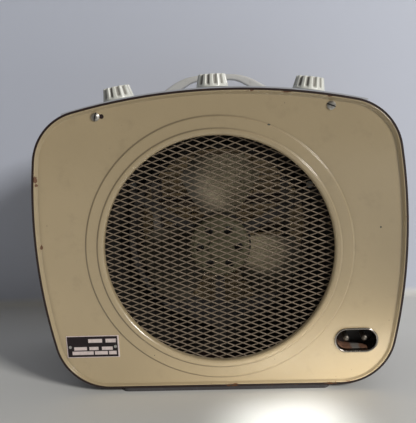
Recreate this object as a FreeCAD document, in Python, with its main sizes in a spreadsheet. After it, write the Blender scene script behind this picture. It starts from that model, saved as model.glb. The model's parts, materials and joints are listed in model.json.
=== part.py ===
import FreeCAD, Part
import math
import os
import re

import Sketcher

Vector = FreeCAD.Vector
Rotation = FreeCAD.Rotation
UP = Vector(0, 0, 1)

# Fan heater with a round intake grille in a pressed rear panel, three knobs and a handle on its crown.
# +X is to the right as the intake is faced, +Y runs from the intake to the outlet, +Z is up, and the
# origin lies on the floor below the middle of the casing.

# Driving dimensions: name, millimetres or count or degrees, what it measures
SIZES = [
    ("top_margin", 21.5, "pressed panels, crown above the outer raised ring"),
    ("ring_land", 2.4, "pressed panels, field between the outer raised ring and the bottom border"),
    ("crown_radius", 565, "pressed panels, radius of the crown"),
    ("side_radius", 520, "pressed panels, radius of the bulging sides"),
    ("side_rise", 14, "pressed panels, widest place above the fan axis"),
    ("top_corner", 50, "pressed panels, radius of the upper corners"),
    ("bottom_corner", 50, "pressed panels, radius of the lower corners"),
    ("casing_wall", 1.6, "casing, sheet thickness"),
    ("panel_fit", 0.3, "gap between a panel and the casing's mouth"),
    ("ledge_width", 14, "casing, width of the ledge that a panel rests on"),
    ("ledge_sheet", 1.2, "casing, thickness of that ledge"),
    ("panel_sheet", 1.0, "pressed panels, sheet thickness"),
    ("field_depth", 3.0, "pressed panels, flat field behind the rim"),
    ("border_edge", 0.9, "pressed panels, flat edge of the border"),
    ("border_slope", 3.0, "pressed panels, width of the sloped border"),
    ("opening_radius", 107, "pressed panels, round opening"),
    ("ring_crest", 6.5, "pressed panels, opening to the foot of the inner raised ring"),
    ("ring_shelf", 10, "pressed panels, inner ring to the top edge of the outer raised ring"),
    ("ring_step", 1.5, "pressed panels, rise of each ring"),
    ("ring_ramp", 1.2, "pressed panels, width of each ring's slope"),
    ("lip_depth", 6.5, "pressed panels, back edge of the rolled lip behind the rim"),
    ("lip_roll", 2.5, "pressed panels, width of the rolled lip"),
    ("lip_shoulder", 0.75, "pressed panels, fall of the rolled lip at its middle"),
    ("mesh_lap", 5.5, "grille and guard, lap behind the panel's opening"),
    ("mesh_sheet", 1.5, "grille and guard, thickness at the edge"),
    ("mesh_long", 24.5, "grille, long way of a diamond"),
    ("mesh_short", 9.8, "grille, short way of a diamond"),
    ("mesh_strand", 1.8, "grille, width of a strand"),
    ("mesh_rim", 2.2, "grille, plain edge outside the last diamonds"),
    ("mesh_fit", 0.3, "gap between the grille's edge and its clamp ring"),
    ("clamp_sheet", 1.0, "clamp rings, sheet thickness"),
    ("clamp_lip", 1.5, "clamp rings, inner edge outside the panel's opening"),
    ("clamp_margin", 2.0, "clamp rings, flange edge inside the outer ring"),
    ("guard_lap", 4, "outlet guard, inner edge of its rim inside the panel's opening"),
    ("guard_front", 1.5, "outlet guard, front edge of the slats behind the rim"),
    ("slat_pitch", 8.2, "outlet guard, slat to slat"),
    ("slat_count", 25, "outlet guard, number of slats"),
    ("slat_sheet", 1.2, "outlet guard, thickness of a slat"),
    ("slat_rise", 7.0, "outlet guard, rise of a slat from its back to its front edge"),
    ("tie_spread", 36, "outlet guard, tie bars from the middle"),
    ("tie_depth", 2.5, "outlet guard, depth of the tie bars"),
    ("screw_side", 65.2, "panel screws from the panel's sides"),
    ("screw_inset", 8.0, "panel screws below the panel's crown"),
    ("screw_head", 3.9, "panel screws, head radius"),
    ("screw_head_height", 2.4, "panel screws, head height"),
    ("screw_shank", 1.9, "panel screws, shank radius"),
    ("screw_length", 9, "panel screws, shank length"),
    ("screw_slot", 1.0, "panel screws, width of the driver slot"),
    ("screw_slot_depth", 1.1, "panel screws, depth of the driver slot"),
    ("screw_gap", 0.2, "gap round screw shanks"),
    ("head_wall", 0.4, "screw heads, upright share of the height"),
    ("head_flat", 0.55, "screw heads, flat share of the radius"),
    ("keyhole_run", 5.5, "rear panel, length of the keyhole slot at the left screw"),
    ("nut_side", 11, "clip nuts, side"),
    ("nut_sheet", 2.2, "clip nuts, thickness"),
    ("plate_margin", 18.65, "rating plate, outer end from the panel's left side"),
    ("plate_clear", 2.9, "rating plate, inner upper corner from the outer raised ring"),
    ("plate_lift", 40.7, "rating plate, middle above the panel's bottom"),
    ("plate_width", 51.5, "rating plate, width"),
    ("plate_height", 22.2, "rating plate, height"),
    ("plate_sheet", 0.6, "rating plate, thickness"),
    ("plate_pin_inset", 3.6, "rating plate, drive pins from its ends"),
    ("plate_pin_radius", 0.9, "rating plate, shank radius of a drive pin"),
    ("plate_pin_head", 1.5, "rating plate, head radius of a drive pin"),
    ("plate_pin_length", 1.5, "rating plate, length of a drive pin"),
    ("plate_pin_rise", 0.6, "rating plate, head height of a drive pin"),
    ("inlet_side", 44.8, "inlet, middle from the panel's right side"),
    ("inlet_lift", 41.3, "inlet, middle above the panel's bottom"),
    ("inlet_run", 8.3, "inlet, half the straight run of its outline"),
    ("inlet_mouth", 10.2, "inlet, end radius of the mouth"),
    ("collar_flange", 2.0, "inlet, width of the collar's flange"),
    ("collar_wall", 0.9, "inlet, wall of the collar's skirt"),
    ("collar_rise", 2.2, "inlet, flange above the panel's field"),
    ("collar_length", 24, "inlet, skirt behind the panel's field"),
    ("collar_fit", 0.2, "gap between the collar and the panel, and the block"),
    ("block_depth", 17, "inlet, face of the moulded block behind the field"),
    ("block_length", 12, "inlet, length of the moulded block"),
    ("inlet_pin_spread", 17, "inlet, pin to pin"),
    ("inlet_pin_radius", 2.5, "inlet, radius of a pin"),
    ("inlet_pin_depth", 2, "inlet, tip of a pin behind the field"),
    ("inlet_pin_tail", 6, "inlet, pin behind the block"),
    ("spring_width", 16, "inlet, width of an earth spring"),
    ("spring_sheet", 0.7, "inlet, thickness of an earth spring"),
    ("spring_bow", 2.4, "inlet, bow of an earth spring"),
    ("spring_depth", 2.5, "inlet, free end of an earth spring behind the field"),
    ("top_plate_inset", 32.2, "top plate, ends from the panel's sides"),
    ("top_plate_sheet", 1.4, "top plate, thickness"),
    ("top_plate_margin", 8, "top plate, edge from the casing's rims"),
    ("seat_gap", 0.1, "gap under pieces that rest on a curved sheet"),
    ("handle_lag", 8, "handle, middle behind the shroud's plate"),
    ("handle_foot_outer", 57, "handle, outer end of a foot"),
    ("handle_foot_inner", 38, "handle, inner end of a foot"),
    ("handle_rise", 14.2, "handle, top above the top plate's crown"),
    ("handle_gap", 8.4, "handle, clear height above the top plate's crown"),
    ("handle_shoulder", 29, "handle, shoulder from the middle, outside"),
    ("handle_elbow", 21, "handle, shoulder from the middle, inside"),
    ("handle_bow", 55, "handle, radius of the outer shoulders"),
    ("handle_inner_bow", 26, "handle, radius of the inner shoulders"),
    ("handle_width", 15, "handle, width front to back"),
    ("handle_round", 2.2, "handle, rounding of its edges"),
    ("handle_screw_spread", 45, "handle screws from the middle"),
    ("handle_screw_radius", 2.0, "handle screws, shank radius"),
    ("handle_screw_head", 3.8, "handle screws, head radius"),
    ("handle_screw_head_height", 2.4, "handle screws, head height"),
    ("handle_screw_length", 7, "handle screws, shank length"),
    ("handle_screw_seat", 0.5, "handle screws, head below the casing's inside"),
    ("foot_height", 4, "foot strips, height"),
    ("foot_inset", 70.2, "foot strips, ends from the panel's sides"),
    ("foot_width", 12, "foot strips, width"),
    ("foot_setback", 1, "foot strips, edge behind the casing's rims"),
    ("knob_side", 49.5, "outer knobs from the top plate's ends"),
    ("knob_depth", 34, "knobs behind the rear rim"),
    ("knob_base", 15, "knobs, base radius"),
    ("knob_crown", 12.6, "knobs, top radius"),
    ("knob_height", 11.8, "knobs, height"),
    ("knob_edge", 1.0, "knobs, bevel of the top edge"),
    ("knob_gap", 0.6, "knobs, gap to the top plate"),
    ("knob_wall_top", 2.2, "knobs, thickness of the top"),
    ("knob_hollow_gap", 1.6, "knobs, gap round the nut in the hollow underneath"),
    ("knob_boss", 6, "knobs, radius of the boss"),
    ("knob_boss_gap", 0.8, "knobs, boss above the neck"),
    ("flute_count", 12, "knobs, number of flutes"),
    ("flute_radius", 1.6, "knobs, half width of a flute"),
    ("flute_wall", 1.5, "knobs, wall between a flute and the hollow"),
    ("flute_end", 2.2, "knobs, lower end of the flutes above the base"),
    ("spindle_radius", 3, "control spindles, radius"),
    ("spindle_fit", 0.03, "gap between a knob's bore and its spindle"),
    ("running_fit", 0.06, "radial gap of turning fits"),
    ("neck_radius", 5, "controls, radius of the threaded neck"),
    ("neck_rise", 3.2, "controls, neck above the top plate"),
    ("neck_gap", 0.3, "gap round a control's neck"),
    ("control_nut", 7.5, "control nuts, corner radius"),
    ("control_nut_height", 2.4, "control nuts, height"),
    ("control_half", 13, "controls, half side of the body"),
    ("control_height", 18, "controls, height of the body"),
    ("control_seat", 0.25, "controls, body below the casing's inside"),
    ("control_bore", 12, "controls, depth of the spindle's bore in the body"),
    ("spindle_end", 0.5, "controls, spindle above the end of its bore"),
    ("motor_gap", 8, "motor, bearing boss behind the grille"),
    ("bell_length", 10, "motor, length of the rear bell"),
    ("bell_wall", 1.4, "motor, wall of the bells"),
    ("bell_round", 5, "motor, width of the rear bell's rounding"),
    ("bell_shoulder", 1.5, "motor, fall of that rounding at its middle"),
    ("bell_boss", 9.5, "motor, radius of the bearing bosses"),
    ("bell_boss_rise", 3, "motor, bearing boss behind the rear bell's face"),
    ("vent_radius", 4.2, "motor, radius of a vent hole"),
    ("vent_ring", 18.5, "motor, radius of the ring of vents"),
    ("vent_count", 6, "motor, number of vents"),
    ("motor_radius", 29, "motor, outer radius"),
    ("can_length", 18, "motor, length of the can"),
    ("can_wall", 1.6, "motor, wall of the can"),
    ("front_bell_length", 8, "motor, length of the front bell"),
    ("air_gap", 0.6, "motor, gap between rotor and stator"),
    ("rotor_radius", 17, "motor, radius of the rotor core"),
    ("rotor_length", 16, "motor, length of the rotor core"),
    ("stator_length", 16, "motor, length of the stator"),
    ("shaft_radius", 4, "motor, shaft radius"),
    ("bearing_radius", 7.5, "motor, outer radius of the bearings"),
    ("bearing_length", 7, "motor, length of the bearings"),
    ("bearing_cover", 1.2, "motor, wall outside the rear bearing"),
    ("bearing_play", 0.4, "motor, shaft end to the wall of the boss"),
    ("fan_gap", 6, "fan, hub behind the motor"),
    ("fan_lead", 7, "fan, middle before the shroud's plate"),
    ("hub_radius", 14, "fan, hub radius"),
    ("hub_length", 16, "fan, hub length"),
    ("blade_count", 3, "fan, number of blades"),
    ("blade_phase", 88, "fan, angle of the first blade from +X"),
    ("blade_sheet", 1.2, "fan, thickness of a blade"),
    ("blade_root", 11, "fan, radius of the root section"),
    ("blade_root_chord", 20, "fan, chord of the root section"),
    ("blade_root_angle", 36, "fan, pitch of the root section"),
    ("blade_waist", 42, "fan, radius of the waist section"),
    ("blade_waist_chord", 66, "fan, chord of the waist section"),
    ("blade_waist_angle", 27, "fan, pitch of the waist section"),
    ("blade_belly", 64, "fan, radius of the widest section"),
    ("blade_belly_chord", 86, "fan, chord of the widest section"),
    ("blade_belly_angle", 21, "fan, pitch of the widest section"),
    ("blade_tip", 85, "fan, radius of the tip section"),
    ("blade_tip_chord", 50, "fan, chord of the tip section"),
    ("blade_tip_angle", 19, "fan, pitch of the tip section"),
    ("blade_camber", 0.07, "fan, camber as a share of the chord"),
    ("fan_nut_radius", 7, "fan nut, corner radius"),
    ("fan_nut_height", 4, "fan nut, height"),
    ("shaft_end", 2, "motor, shaft past the fan nut"),
    ("shroud_sheet", 1.0, "shroud, sheet thickness"),
    ("shroud_gap", 0.2, "gap between the shroud and the casing"),
    ("tip_gap", 1.75, "shroud, gap round the blade tips"),
    ("mouth_reach", 12, "shroud, bell mouth before its plate"),
    ("mouth_flare", 4, "shroud, flare of the bell mouth"),
    ("throat_reach", 10, "shroud, end of its throat behind its plate"),
    ("bracket_setback", 4, "motor bracket, arms behind the rear edge of the can"),
    ("bracket_sheet", 1.5, "motor bracket, sheet thickness"),
    ("bracket_band", 9, "motor bracket, width of the band round the can"),
    ("bracket_width", 9, "motor bracket, width of an arm"),
    ("bracket_clear", 2.6, "motor bracket, legs outside the bell mouth"),
    ("bracket_foot", 13, "motor bracket, length of a foot"),
    ("bracket_phase", 28, "motor bracket, angle of the first arm from +X"),
    ("bracket_count", 3, "motor bracket, number of arms"),
    ("bracket_screw", 1.8, "bracket screws, shank radius"),
    ("bracket_screw_head", 3.4, "bracket screws, head radius"),
    ("bracket_screw_height", 2.0, "bracket screws, head height"),
    ("bracket_screw_length", 6, "bracket screws, shank length"),
    ("duct_fit", 0.4, "gap between the shroud's throat and the heat duct"),
    ("duct_wall", 0.8, "heat duct, sheet thickness"),
    ("duct_gap", 0.3, "gap between the heat duct and the shroud's plate"),
    ("duct_end_gap", 1.2, "heat duct, outer end behind the front clamp ring"),
    ("element_gap", 12, "rear row of heater rods behind the shroud's throat"),
    ("row_pitch", 17, "heater rods, row to row"),
    ("rod_radius", 4, "heater rods, sheath radius"),
    ("rod_gap", 0.15, "gap round the heater rods in their square holes"),
    ("rod_pitch", 32, "heater rods, rod to rod"),
    ("rod_count", 3, "heater rods in a row"),
    ("holder_reach", 66, "rod holders, inner face from the middle"),
    ("holder_sheet", 7, "rod holders, thickness"),
    ("holder_margin", 8, "rod holders, edge past the rods"),
    ("guard_gap", 9, "rod holders, front edge behind the outlet guard"),
    ("holder_gap", 0.3, "gap between the holders and the duct"),
    ("cutout_gap", 9.8, "thermal cut-out above the heat duct"),
    ("cutout_radius", 9, "thermal cut-out, radius"),
    ("cutout_height", 7, "thermal cut-out, height"),
    ("cutout_lug", 16, "thermal cut-out, half length of its fixing plate"),
    ("cutout_sheet", 1.2, "thermal cut-out, thickness of its fixing plate"),
    ("terminal_side", 45.2, "terminal block from the panel's left side"),
    ("terminal_width", 18, "terminal block, width"),
    ("terminal_length", 64, "terminal block, length"),
    ("terminal_height", 14, "terminal block, height"),
    ("terminal_pitch", 15, "terminal block, way to way"),
    ("terminal_count", 4, "terminal block, number of ways"),
    ("terminal_well", 3.2, "terminal block, radius of a screw well"),
    ("terminal_well_depth", 6, "terminal block, depth of a screw well"),
]

doc = FreeCAD.newDocument("fan_heater")
sheet = doc.addObject("Spreadsheet::Sheet", "Sizes")
for row, (name, size, note) in enumerate(SIZES, start=1):
    sheet.set(f"A{row}", note)
    sheet.set(f"B{row}", str(size))
    sheet.setAlias(f"B{row}", name)
doc.recompute()
NAMES = {name for name, size, note in SIZES}

# Sizes and places that follow from the driving dimensions
FOLLOWING = {
    "ring_inner": "opening_radius + ring_crest",
    "ring_outer": "ring_inner + ring_shelf",
    "ring_foot": "ring_outer + ring_ramp",
    "panel_top": "ring_foot + top_margin",
    "panel_bottom": "ring_foot + ring_land + border_slope + border_edge",
    "panel_half_width": "plate_x + plate_width / 2 + plate_margin",
    "screw_spread": "panel_half_width - screw_side",
    "mesh_radius": "opening_radius + mesh_lap",
    "clamp_inner": "opening_radius + clamp_lip",
    "guard_rim": "opening_radius - guard_lap",
    "screw_rise": "sqrt(crown_radius^2 - screw_spread^2) + panel_top - crown_radius - screw_inset",
    "plate_drop": "panel_bottom - plate_lift",
    "plate_x": "sqrt((ring_foot + plate_clear)^2 - (plate_drop - plate_height / 2)^2) + plate_width / 2",
    "inlet_x": "panel_half_width - inlet_side",
    "inlet_drop": "panel_bottom - inlet_lift",
    "inlet_radius": "inlet_mouth + collar_flange",
    "top_plate_half": "panel_half_width - top_plate_inset",
    "knob_spacing": "top_plate_half - knob_side",
    "foot_half": "panel_half_width - foot_inset",
    "foot_spread": "casing_depth / 2 - foot_setback - foot_width / 2",
    "knob_hollow": "control_nut + knob_hollow_gap",
    "flute_floor": "knob_hollow + flute_wall",
    "stator_bore": "rotor_radius + air_gap",
    "mesh_back": "lip_depth + mesh_sheet",
    "bell_depth": "mesh_back + motor_gap + bell_boss_rise",
    "can_depth": "bell_depth + bell_length",
    "front_bell_depth": "can_depth + can_length",
    "front_bell_end": "front_bell_depth + front_bell_length",
    "bracket_depth": "can_depth + bracket_setback",
    "fan_depth": "front_bell_end + fan_gap + hub_length / 2",
    "baffle_depth": "fan_depth + fan_lead",
    "handle_depth": "baffle_depth + handle_lag",
    "casing_depth": "element_front + holder_margin + guard_gap + mesh_back",
    "aperture_radius": "sqrt(blade_tip^2 + blade_tip_chord^2 / 4) + tip_gap",
    "mouth_depth": "baffle_depth - mouth_reach",
    "throat_end": "baffle_depth + throat_reach",
    "bracket_reach": "aperture_radius + shroud_sheet + mouth_flare + bracket_clear",
    "bracket_screw_reach": "bracket_reach + bracket_sheet / 2 + bracket_foot / 2",
    "duct_start": "baffle_depth + shroud_sheet + duct_gap",
    "duct_inner": "aperture_radius + shroud_sheet + duct_fit",
    "element_back": "throat_end + element_gap",
    "element_front": "element_back + row_pitch",
    "cutout_rise": "duct_inner + duct_wall + cutout_gap + cutout_radius",
    "terminal_x": "panel_half_width - terminal_side",
}

# Levels that several pieces share
AXIS = "(foot_height + casing_wall + panel_fit + panel_bottom)"
CASING_CROWN = "(crown_radius + panel_fit + casing_wall)"
CROWN_CENTRE = "(panel_top - crown_radius)"
PLATE_RISE = "(seat_gap + top_plate_sheet)"
PLATE_CROWN = f"({CASING_CROWN} + {PLATE_RISE})"
FIELD_BACK = "(field_depth + panel_sheet)"
RING_BACK = "(field_depth - ring_step + panel_sheet)"
HUB_END = "(fan_depth + hub_length / 2)"
HANDLE_SEAT = (f"(sqrt(({CASING_CROWN} - casing_wall)^2 - handle_screw_spread^2) + {CROWN_CENTRE}"
               " - handle_screw_seat)")

# How near two lengths count as the same, in millimetres
NEAR = 0.05

# A piece's own axes are x to the right, y up and z out of the panel that it is seen from
REAR = Rotation(Vector(1, 0, 0), 90)
FRONT = Rotation(UP, 180).multiply(REAR)
UPRIGHT = Rotation()


# Sizes and places

def bound(formula):
    """The formula with every size name turned into a reference to the sheet."""
    def refer(word):
        name = word.group()
        if name in FOLLOWING:
            return f"({bound(FOLLOWING[name])})"
        return f"Sizes.{name}" if name in NAMES else name
    return re.sub(r"[a-z_]+", refer, formula)


def number(formula):
    """What a formula of the sizes comes to."""
    result = sheet.evalExpression(bound(formula))
    return float(getattr(result, "Value", result))


def bind(thing, formulas):
    """Ties properties of an object to formulas of the sizes."""
    for path, formula in formulas.items():
        thing.setExpression(path, bound(formula))


def place(thing, x, y, z, rotation=UPRIGHT):
    """Puts an object's own origin at a point given by formulas."""
    thing.Placement = FreeCAD.Placement(Vector(number(x), number(y), number(z)), rotation)
    bind(thing, {"Placement.Base.x": x, "Placement.Base.y": y, "Placement.Base.z": z})


def place_behind_rear(thing, depth="0", x="0", rise="0", turn=0.0):
    """Puts an object facing the intake, a depth behind the rear rim, measured from the fan axis."""
    rotation = REAR.multiply(Rotation(UP, turn))
    place(thing, x, f"({depth}) - casing_depth / 2", f"{AXIS} + ({rise})", rotation)


def place_behind_front(thing):
    """Puts an object facing the outlet, on the front rim and the fan axis."""
    place(thing, "0", "casing_depth / 2", AXIS, FRONT)


def place_on_crown(thing, side, lift="0"):
    """Puts an object at the left, middle or right control, its z axis square to the crown."""
    angle = f"asin(knob_spacing / {CASING_CROWN})"
    reach = f"({CASING_CROWN} + ({lift}))"
    rotation = Rotation(Vector(0, side, 0), number(angle)) if side else UPRIGHT
    across = f"{side} * {reach} * sin({angle})"
    height = f"{reach} * cos({angle})" if side else reach
    place(thing, across, "knob_depth - casing_depth / 2", f"{AXIS} + {CROWN_CENTRE} + {height}", rotation)
    if side:
        bind(thing, {"Placement.Rotation.Angle": angle})


# Sketches

def new_body(label):
    """An empty body with its label."""
    body = doc.addObject("PartDesign::Body", label)
    body.Label = label
    return body


def datum(body, role):
    """One of the body's own planes or axes."""
    return next(item for item in body.Origin.OriginFeatures if item.Role == role)


def new_sketch(body, plane="XY_Plane", lift="0"):
    """A sketch on one of the body's planes, lifted off it along its normal."""
    sketch = body.newObject("Sketcher::SketchObject", "Sketch")
    sketch.AttachmentSupport = (datum(body, plane), [""])
    sketch.MapMode = "FlatFace"
    bind(sketch, {"AttachmentOffset.Base.z": lift})
    return sketch


def constrain(sketch, rules):
    """Adds constraints, given as kind, references and formula or None, and ties them to the sheet."""
    made = []
    for kind, where, formula in rules:
        size = [] if formula is None else [number(formula)]
        made.append(Sketcher.Constraint(kind, *where, *size))
    for index, (kind, where, formula) in zip(sketch.addConstraint(made), rules):
        if formula is not None:
            sketch.setExpression(f"Constraints[{index}]", bound(formula))


def pinned(geometry, point, x, y):
    """Rules that hold one point of a sketch at formulas measured from its origin."""
    return [("DistanceX", (-1, 1, geometry, point), x), ("DistanceY", (-1, 1, geometry, point), y)]


def polygon(sketch, corners):
    """A closed outline of straight lines through corners given as pairs of formulas."""
    spots = [Vector(number(x), number(y), 0) for x, y in corners]
    sides = zip(spots, spots[1:] + spots[:1])
    lines = sketch.addGeometry([Part.LineSegment(start, end) for start, end in sides])
    rules = [("Coincident", (line, 2, after, 1), None) for line, after in zip(lines, lines[1:] + lines[:1])]
    for line, (x, y) in zip(lines, corners):
        rules += pinned(line, 1, x, y)
    constrain(sketch, rules)


def rectangle(sketch, left, bottom, right, top):
    """A rectangle given by formulas of its four sides."""
    polygon(sketch, [(left, bottom), (right, bottom), (right, top), (left, top)])


def circle(sketch, radius, x="0", y="0"):
    """A circle given by formulas."""
    centre = Vector(number(x), number(y), 0)
    ring = sketch.addGeometry(Part.Circle(centre, UP, number(radius)))
    constrain(sketch, pinned(ring, 3, x, y) + [("Radius", (ring,), radius)])


def arc(centre, start, end):
    """The arc about a centre that runs counter-clockwise from one point to another."""
    first = math.atan2(start.y - centre.y, start.x - centre.x)
    last = math.atan2(end.y - centre.y, end.x - centre.x)
    if last < first:
        last += 2 * math.pi
    return Part.ArcOfCircle(Part.Circle(centre, UP, (start - centre).Length), first, last)


def chain(sketch, pieces):
    """Adds lines and arcs that follow each other round, each tangent to the next."""
    made = sketch.addGeometry(pieces)
    following = made[1:] + made[:1]
    return made, [("Tangent", (piece, 2, after, 1), None) for piece, after in zip(made, following)]


def stadium(sketch, half_run, radius, x="0", y="0"):
    """A slot with round ends that lies along x."""
    run, end = number(half_run), number(radius)
    left, right = Vector(number(x) - run, number(y), 0), Vector(number(x) + run, number(y), 0)
    above, below = Vector(0, end, 0), Vector(0, -end, 0)
    made, rules = chain(sketch, [
        arc(left, left + above, left + below),
        Part.LineSegment(left + below, right + below),
        arc(right, right + below, right + above),
        Part.LineSegment(right + above, left + above),
    ])
    for index, sign in ((0, "-"), (2, "+")):
        rules += pinned(made[index], 3, f"({x}) {sign} ({half_run})", y)
        rules.append(("Radius", (made[index],), radius))
    constrain(sketch, rules)


def closed_strip(made):
    """Rules that join two like arcs by a line at each end."""
    joins = ((0, 2, 1, 1), (1, 2, 2, 2), (2, 1, 3, 1), (3, 2, 0, 1))
    return [("Coincident", (made[first], end, made[second], start), None)
            for first, end, second, start in joins]


def mirrored(point):
    """The point on the other side of the upright middle line."""
    return Vector(-point.x, point.y, 0)


def outline(sketch, inset="0"):
    """The panels' outline, moved inwards by an inset: crown, bulging sides, round corners, flat bottom."""
    step = number(inset)
    crown = Vector(0, number(CROWN_CENTRE), 0)
    side = Vector(number("panel_half_width - side_radius"), number("side_rise"), 0)
    crown_reach = number("crown_radius - top_corner")
    side_reach = number("side_radius - top_corner")
    between = side - crown
    along = (crown_reach ** 2 - side_reach ** 2 + between.Length ** 2) / (2 * between.Length)
    aside = math.sqrt(crown_reach ** 2 - along ** 2)
    across = Vector(between.y, -between.x, 0).normalize()
    upper = crown + between / between.Length * along + across * aside
    lower_rise = number("bottom_corner - panel_bottom")
    lower_reach = number("side_radius - bottom_corner")
    lower = Vector(side.x + math.sqrt(lower_reach ** 2 - (lower_rise - side.y) ** 2), lower_rise, 0)

    def touch(centre, other, radius):
        return centre + (other - centre).normalize() * (number(radius) - step)

    floor_end = Vector(lower.x, lower.y - number("bottom_corner") + step, 0)
    side_low = touch(side, lower, "side_radius")
    side_high = touch(side, upper, "side_radius")
    crown_end = touch(crown, upper, "crown_radius")
    made, rules = chain(sketch, [
        Part.LineSegment(mirrored(floor_end), floor_end),
        arc(lower, floor_end, side_low),
        arc(side, side_low, side_high),
        arc(upper, side_high, crown_end),
        arc(crown, crown_end, mirrored(crown_end)),
        arc(mirrored(upper), mirrored(crown_end), mirrored(side_high)),
        arc(mirrored(side), mirrored(side_high), mirrored(side_low)),
        arc(mirrored(lower), mirrored(side_low), mirrored(floor_end)),
    ])
    radii = ["bottom_corner", "side_radius", "top_corner", "crown_radius"]
    for piece, radius in zip(made[1:], radii + radii[-2::-1]):
        rules.append(("Radius", (piece,), f"{radius} - ({inset})"))
    side_centre = "panel_half_width - side_radius"
    rules += pinned(made[4], 3, "0", CROWN_CENTRE)
    rules += pinned(made[2], 3, side_centre, "side_rise")
    rules += pinned(made[6], 3, f"-({side_centre})", "side_rise")
    rules.append(("Horizontal", (made[0],), None))
    rules.append(("DistanceY", (-1, 1, made[0], 1), f"({inset}) - panel_bottom"))
    constrain(sketch, rules)


# Features

def pad(body, sketch, length, inwards=True):
    """Extrudes a sketch against its normal, or along it."""
    feature = body.newObject("PartDesign::Pad", "Pad")
    feature.Profile = sketch
    feature.Reversed = inwards
    bind(feature, {"Length": length})
    return feature


def pocket(body, sketch, length=None):
    """Cuts a sketch against its normal, by a length or all the way."""
    feature = body.newObject("PartDesign::Pocket", "Pocket")
    feature.Profile = sketch
    if length is None:
        feature.Type = "ThroughAll"
    else:
        bind(feature, {"Length": length})
    return feature


def turned(body, corners):
    """Turns a closed outline, given as radius and height pairs, about the body's z axis."""
    sketch = new_sketch(body, "XZ_Plane")
    polygon(sketch, corners)
    feature = body.newObject("PartDesign::Revolution", "Revolution")
    feature.Profile = sketch
    feature.ReferenceAxis = (sketch, ["V_Axis"])
    feature.Angle = 360
    return feature


def loft(body, kind, sections):
    """An additive or subtractive loft through sketches."""
    feature = body.newObject(f"PartDesign::{kind}", kind)
    feature.Profile = sections[0]
    feature.Sections = sections[1:]
    feature.Ruled = True
    return feature


def polar(body, features, count):
    """Repeats features round the body's z axis."""
    pattern = body.newObject("PartDesign::PolarPattern", "PolarPattern")
    pattern.Originals = features
    pattern.Axis = (datum(body, "Z_Axis"), [""])
    pattern.Angle = 360
    bind(pattern, {"Occurrences": count})
    body.Tip = pattern
    return pattern


def rounded(body, base, radius, chosen):
    """Fillets the edges of a feature that a test picks."""
    doc.recompute()
    edges = [f"Edge{index}" for index, edge in enumerate(base.Shape.Edges, start=1) if chosen(edge)]
    feature = body.newObject("PartDesign::Fillet", "Fillet")
    feature.Base = (base, edges)
    bind(feature, {"Radius": radius})
    return feature


def cylinder(name, radius, length):
    """A plain cylinder, used as a rod or as a cutter."""
    rod = doc.addObject("Part::Cylinder", name)
    rod.Label = name
    bind(rod, {"Radius": radius, "Height": length})
    return rod


def drilled(label, base, cutters):
    """A piece with holes cut by other solids."""
    tools = doc.addObject("Part::MultiFuse", f"{label}_holes")
    tools.Shapes = cutters
    cut = doc.addObject("Part::Cut", label)
    cut.Label = label
    cut.Base = base
    cut.Tool = tools
    return cut


def grouped(label, pieces):
    """Like pieces kept as separate solids under one name."""
    group = doc.addObject("Part::Compound", label)
    group.Label = label
    group.Links = pieces
    return group


def screw(name, head, head_height, shank, length, slotted=False):
    """A screw along z, its head's underside at the origin and its shank below; a slotted head is domed."""
    body = new_body(name)
    crown = [(head, head_height)]
    if slotted:
        crown = [(head, f"{head_height} * head_wall"), (f"{head} * head_flat", head_height)]
    turned(body, [
        ("0", f"-({length})"), (shank, f"-({length})"), (shank, "0"), (head, "0"), *crown, ("0", head_height),
    ])
    if slotted:
        sketch = new_sketch(body, lift=head_height)
        rectangle(sketch, f"-({head}) - screw_slot", "-screw_slot / 2",
                  f"{head} + screw_slot", "screw_slot / 2")
        pocket(body, sketch, "screw_slot_depth")
    return body


# Casing

def handle_holes(name, radius):
    """Upright cutters at the two handle screws."""
    cutters = []
    for side in (-1, 1):
        cutter = cylinder(f"{name}_handle_hole", radius, "2 * handle_rise")
        place(cutter, f"{side} * handle_screw_spread", "handle_depth - casing_depth / 2",
              f"{AXIS} + panel_top - handle_rise")
        cutters.append(cutter)
    return cutters


def neck_holes(name):
    """Cutters square to the crown at the three controls."""
    cutters = []
    for side in (-1, 0, 1):
        cutter = cylinder(f"{name}_neck_hole", "neck_radius + neck_gap", "control_height")
        place_on_crown(cutter, side, "-control_height / 2")
        cutters.append(cutter)
    return cutters


def ledge_holes():
    """Cutters for the panel screws through both ledges."""
    cutters = []
    for side in (-1, 1):
        cutter = cylinder("ledge_hole", "screw_shank + screw_gap", "casing_depth")
        place(cutter, f"{side} * screw_spread", "casing_depth / 2", f"{AXIS} + screw_rise", REAR)
        cutters.append(cutter)
    return cutters


def casing_shell():
    wrap = new_body("casing_wrap")
    place_behind_rear(wrap)
    outside = new_sketch(wrap)
    outline(outside, "-(panel_fit + casing_wall)")
    pad(wrap, outside, "casing_depth")
    ledge_opening = new_sketch(wrap)
    outline(ledge_opening, "ledge_width")
    pocket(wrap, ledge_opening)
    ledge_front = f"({FIELD_BACK} + ledge_sheet)"
    hollows = [
        ("0", FIELD_BACK),
        (ledge_front, f"casing_depth - 2 * {ledge_front}"),
        (f"casing_depth - {FIELD_BACK}", FIELD_BACK),
    ]
    for start, length in hollows:
        inside = new_sketch(wrap, lift=f"-({start})")
        outline(inside, "-panel_fit")
        pocket(wrap, inside, length)
    cutters = neck_holes("casing") + handle_holes("casing", "handle_screw_radius + screw_gap") + ledge_holes()
    return drilled("casing_shell", wrap, cutters)


def foot_strip(label, side):
    body = new_body(label)
    place(body, "0", f"{side} * foot_spread", "0")
    sketch = new_sketch(body)
    stadium(sketch, "foot_half - foot_width / 2", "foot_width / 2")
    pad(body, sketch, "foot_height", inwards=False)
    return body


# Pressed panels

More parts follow.
